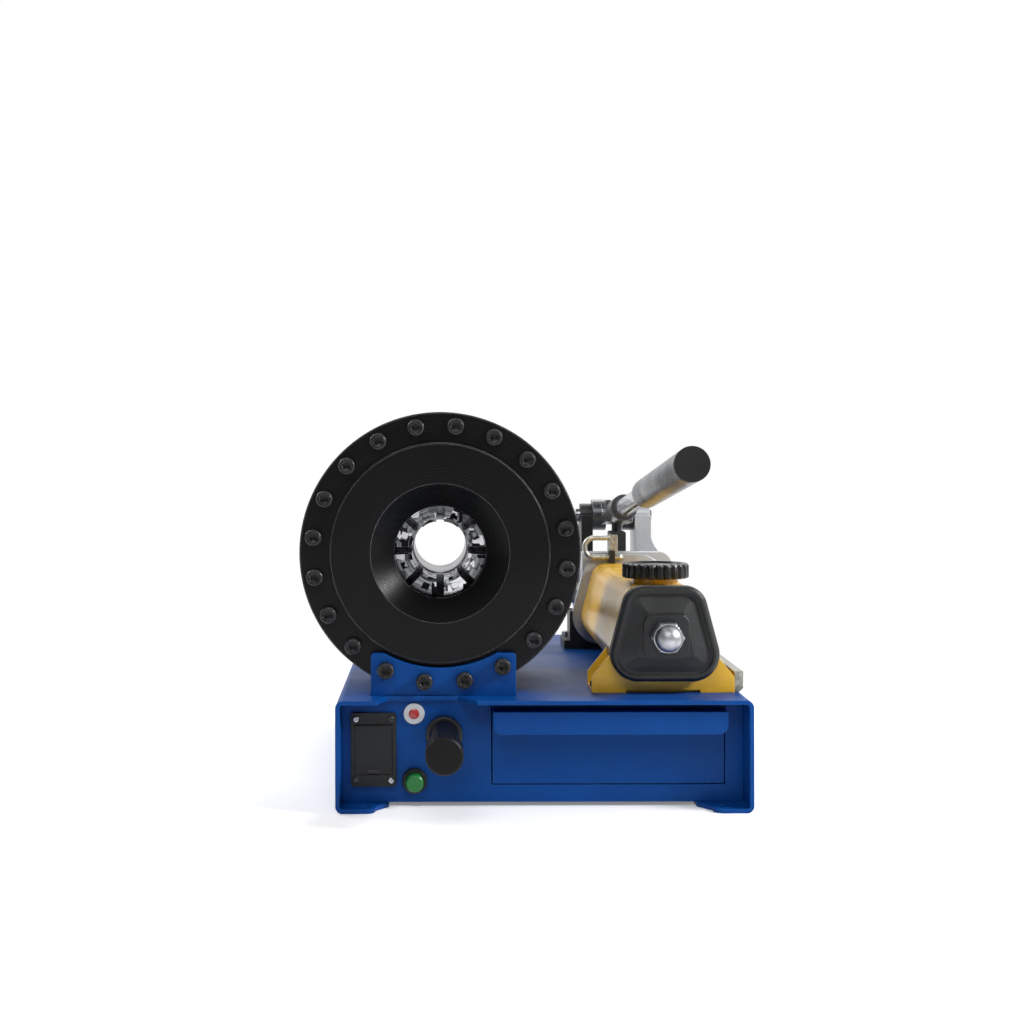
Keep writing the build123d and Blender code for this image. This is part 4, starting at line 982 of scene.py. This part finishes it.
class CRIMPER_OT_hose(bpy.types.Operator):
    """Pressure hose from the pump to the cylinder, with crimped end fittings"""

    bl_idname = "crimper.hose"
    bl_label = "Pressure hose"

    def execute(self, context):
        made, wire, shader = new_material("hose_and_ferrules")
        part = wire.add("ShaderNodeSeparateXYZ", {0: wire.place()})
        at_pump = wire.math("GREATER_THAN", part.outputs["X"], PUMP_FERRULE_X)
        at_head = wire.math("LESS_THAN", part.outputs["Y"], BASE_FRONT + HEAD_FERRULE_DEPTH)
        metal = wire.math("MAXIMUM", at_pump, at_head)
        cover = effect(wire, "coat_speckle", {"Scale": 900.0, "Contrast": 0.25})
        worn_and_lit_edges = effect(wire, "edge_wear_and_highlight", {"Width": 0.0008, "Breakup": 0.3})
        rubber = wire.mix(cover.outputs["Mask"], srgb(18, 18, 19), srgb(36, 36, 38))
        zinc = wire.mix(cover.outputs["Mask"], srgb(168, 170, 166), srgb(196, 198, 192))
        # Pale edges on the fittings: partly rubbed zinc, partly painted edge highlight.
        edged = wire.mix(worn_and_lit_edges.outputs["Mask"], zinc, srgb(226, 228, 224))
        wire.join(wire.mix(metal, rubber, edged), shader.inputs["Base Color"])
        wire.join(metal, shader.inputs["Metallic"])
        wire.join(wire.spread(metal, 0.0, 1.0, 0.6, 0.32), shader.inputs["Roughness"])
        emboss(wire, shader, 0.2, 0.0003, cover.outputs["Height"], worn_and_lit_edges.outputs["Normal"])
        clothe(made, "pressure_hose")
        return {"FINISHED"}


class CRIMPER_OT_stage(bpy.types.Operator):
    """Pale floor, soft lamps, backdrop light and the camera"""

    bl_idname = "crimper.stage"
    bl_label = "Studio"

    def execute(self, context):
        studio = context.scene.crimper_studio
        self.make_floor(studio)
        self.make_world(context.scene)
        self.make_lamps(studio)
        self.make_camera(studio)
        context.scene.view_settings.view_transform = "Standard"
        return {"FINISHED"}

    @staticmethod
    def make_lamps(studio):
        """Area lamps, each with its place, aim, width, height and power."""
        for name, spot, aim, wide, high, watts in (
            ("key_lamp", (-0.35, -1.95, 1.9), (0.0, 0.0, 0.18), 1.6, 1.1, studio.key),
            ("side_lamp", (1.25, -0.62, 0.93), (-0.09, -0.24, 0.22), 0.4, 0.3, studio.side),
            ("window_lamp", (-1.45, 0.75, 1.35), (0.05, 0.0, 0.15), 1.2, 1.0, studio.window),
            ("rear_lamp", (0.5, 1.5, 1.5), (0.0, 0.0, 0.2), 1.6, 0.8, studio.rear),
        ):
            light = bpy.data.lights.new(name, "AREA")
            light.shape = "RECTANGLE"
            light.size = wide
            light.size_y = high
            light.energy = watts
            lamp = bpy.data.objects.new(name, light)
            lamp.location = spot
            beam = Vector(aim) - Vector(spot)
            lamp.rotation_euler = beam.to_track_quat("-Z", "Y").to_euler()
            bpy.context.scene.collection.objects.link(lamp)

    @staticmethod
    def make_camera(studio):
        view = bpy.data.cameras.new("front_camera")
        view.lens = studio.lens
        view.sensor_width = 36.0
        view.shift_x, view.shift_y = CAMERA_SHIFT
        view.clip_end = 50.0
        camera = bpy.data.objects.new("front_camera", view)
        camera.location = CAMERA_PLACE
        camera.rotation_euler = (math.pi / 2, math.radians(CAMERA_ROLL_DEG), 0.0)
        bpy.context.scene.collection.objects.link(camera)
        bpy.context.scene.camera = camera

    @staticmethod
    def make_floor(studio):
        """Pale floor that keeps a shadow near the machine and blends into white around it."""
        shape = bmesh.new()
        bmesh.ops.create_grid(shape, x_segments=2, y_segments=2, size=6.0)
        data = bpy.data.meshes.new("studio_floor")
        shape.to_mesh(data)
        shape.free()
        made, wire, shader = new_material("floor_paint", Roughness=0.9, Specular_IOR_Level=0.1)
        grain = effect(wire, "coat_speckle", {"Scale": 90.0, "Contrast": 0.3})
        pale = tuple(min(1.0, c * 1.02) for c in studio.floor[:3]) + (1.0,)
        wire.join(wire.mix(grain.outputs["Mask"], studio.floor, pale), shader.inputs["Base Color"])
        path = wire.add("ShaderNodeLightPath")
        seen = wire.math("MAXIMUM", path.outputs["Is Camera Ray"], path.outputs["Is Glossy Ray"])
        reach = wire.vector_math("LENGTH", wire.place()).outputs["Value"]
        far = wire.spread(reach, *FLOOR_BLEND)
        white = wire.add("ShaderNodeEmission", {"Color": WHITE, "Strength": 1.0})
        merged = wire.add("ShaderNodeMixShader", {0: wire.math("MULTIPLY", seen, far)})
        wire.join(shader.outputs["BSDF"], merged.inputs[1])
        wire.join(white.outputs["Emission"], merged.inputs[2])
        surface = made.node_tree.nodes["Material Output"].inputs["Surface"]
        wire.join(merged.outputs["Shader"], surface)
        wire.join(wire.math("MULTIPLY", seen, 0.22), shader.inputs["Emission Strength"])
        shader.inputs["Emission Color"].default_value = WHITE
        data.materials.append(made)
        floor = bpy.data.objects.new("studio_floor", data)
        bpy.context.scene.collection.objects.link(floor)

    @staticmethod
    def make_world(scene):
        """White backdrop behind the machine and a dim room on the camera's side."""
        world = bpy.data.worlds.new("studio_room")
        world.use_nodes = True
        scene.world = world
        wire = Wiring(world.node_tree)
        back = world.node_tree.nodes["Background"]
        heading = wire.add("ShaderNodeTexCoord").outputs["Generated"]
        part = wire.add("ShaderNodeSeparateXYZ", {0: heading})
        rear = wire.spread(part.outputs["Y"], -0.35, 0.45)
        room = wire.mix(rear, (0.10, 0.10, 0.11, 1.0), (0.80, 0.80, 0.81, 1.0))
        path = wire.add("ShaderNodeLightPath")
        shown = wire.mix(path.outputs["Is Camera Ray"], room, WHITE)
        wire.join(shown, back.inputs["Color"])
        back.inputs["Strength"].default_value = 1.0


class CRIMPER_PT_panel(bpy.types.Panel):
    """Lists the steps that dress the machine"""

    bl_idname = "CRIMPER_PT_panel"
    bl_label = "Hose crimper"
    bl_space_type = "VIEW_3D"
    bl_region_type = "UI"
    bl_category = "Hose crimper"

    def draw(self, context):
        scene = context.scene
        layout = self.layout
        for settings in (scene.crimper_paint, scene.crimper_fasteners, scene.crimper_studio):
            box = layout.box()
            for key in settings.__annotations__:
                box.prop(settings, key)
        for step in STEPS:
            layout.operator(step.bl_idname)


STEPS = (
    CRIMPER_OT_stage,
    CRIMPER_OT_base,
    CRIMPER_OT_head,
    CRIMPER_OT_dies,
    CRIMPER_OT_flange_screws,
    CRIMPER_OT_controls,
    CRIMPER_OT_pump,
    CRIMPER_OT_pump_head,
    CRIMPER_OT_lever,
    CRIMPER_OT_hose,
)
SETTINGS = (CrimperPaint, CrimperFasteners, CrimperStudio)


def register():
    for item in (*SETTINGS, *STEPS, CRIMPER_PT_panel):
        bpy.utils.register_class(item)
    bpy.types.Scene.crimper_paint = bpy.props.PointerProperty(type=CrimperPaint)
    bpy.types.Scene.crimper_fasteners = bpy.props.PointerProperty(type=CrimperFasteners)
    bpy.types.Scene.crimper_studio = bpy.props.PointerProperty(type=CrimperStudio)


def unregister():
    del bpy.types.Scene.crimper_studio
    del bpy.types.Scene.crimper_fasteners
    del bpy.types.Scene.crimper_paint
    for item in reversed((*SETTINGS, *STEPS, CRIMPER_PT_panel)):
        bpy.utils.unregister_class(item)


def main():
    register()
    for step in STEPS:
        group, name = step.bl_idname.split(".")
        getattr(getattr(bpy.ops, group), name)()


if __name__ == "__main__":
    main()
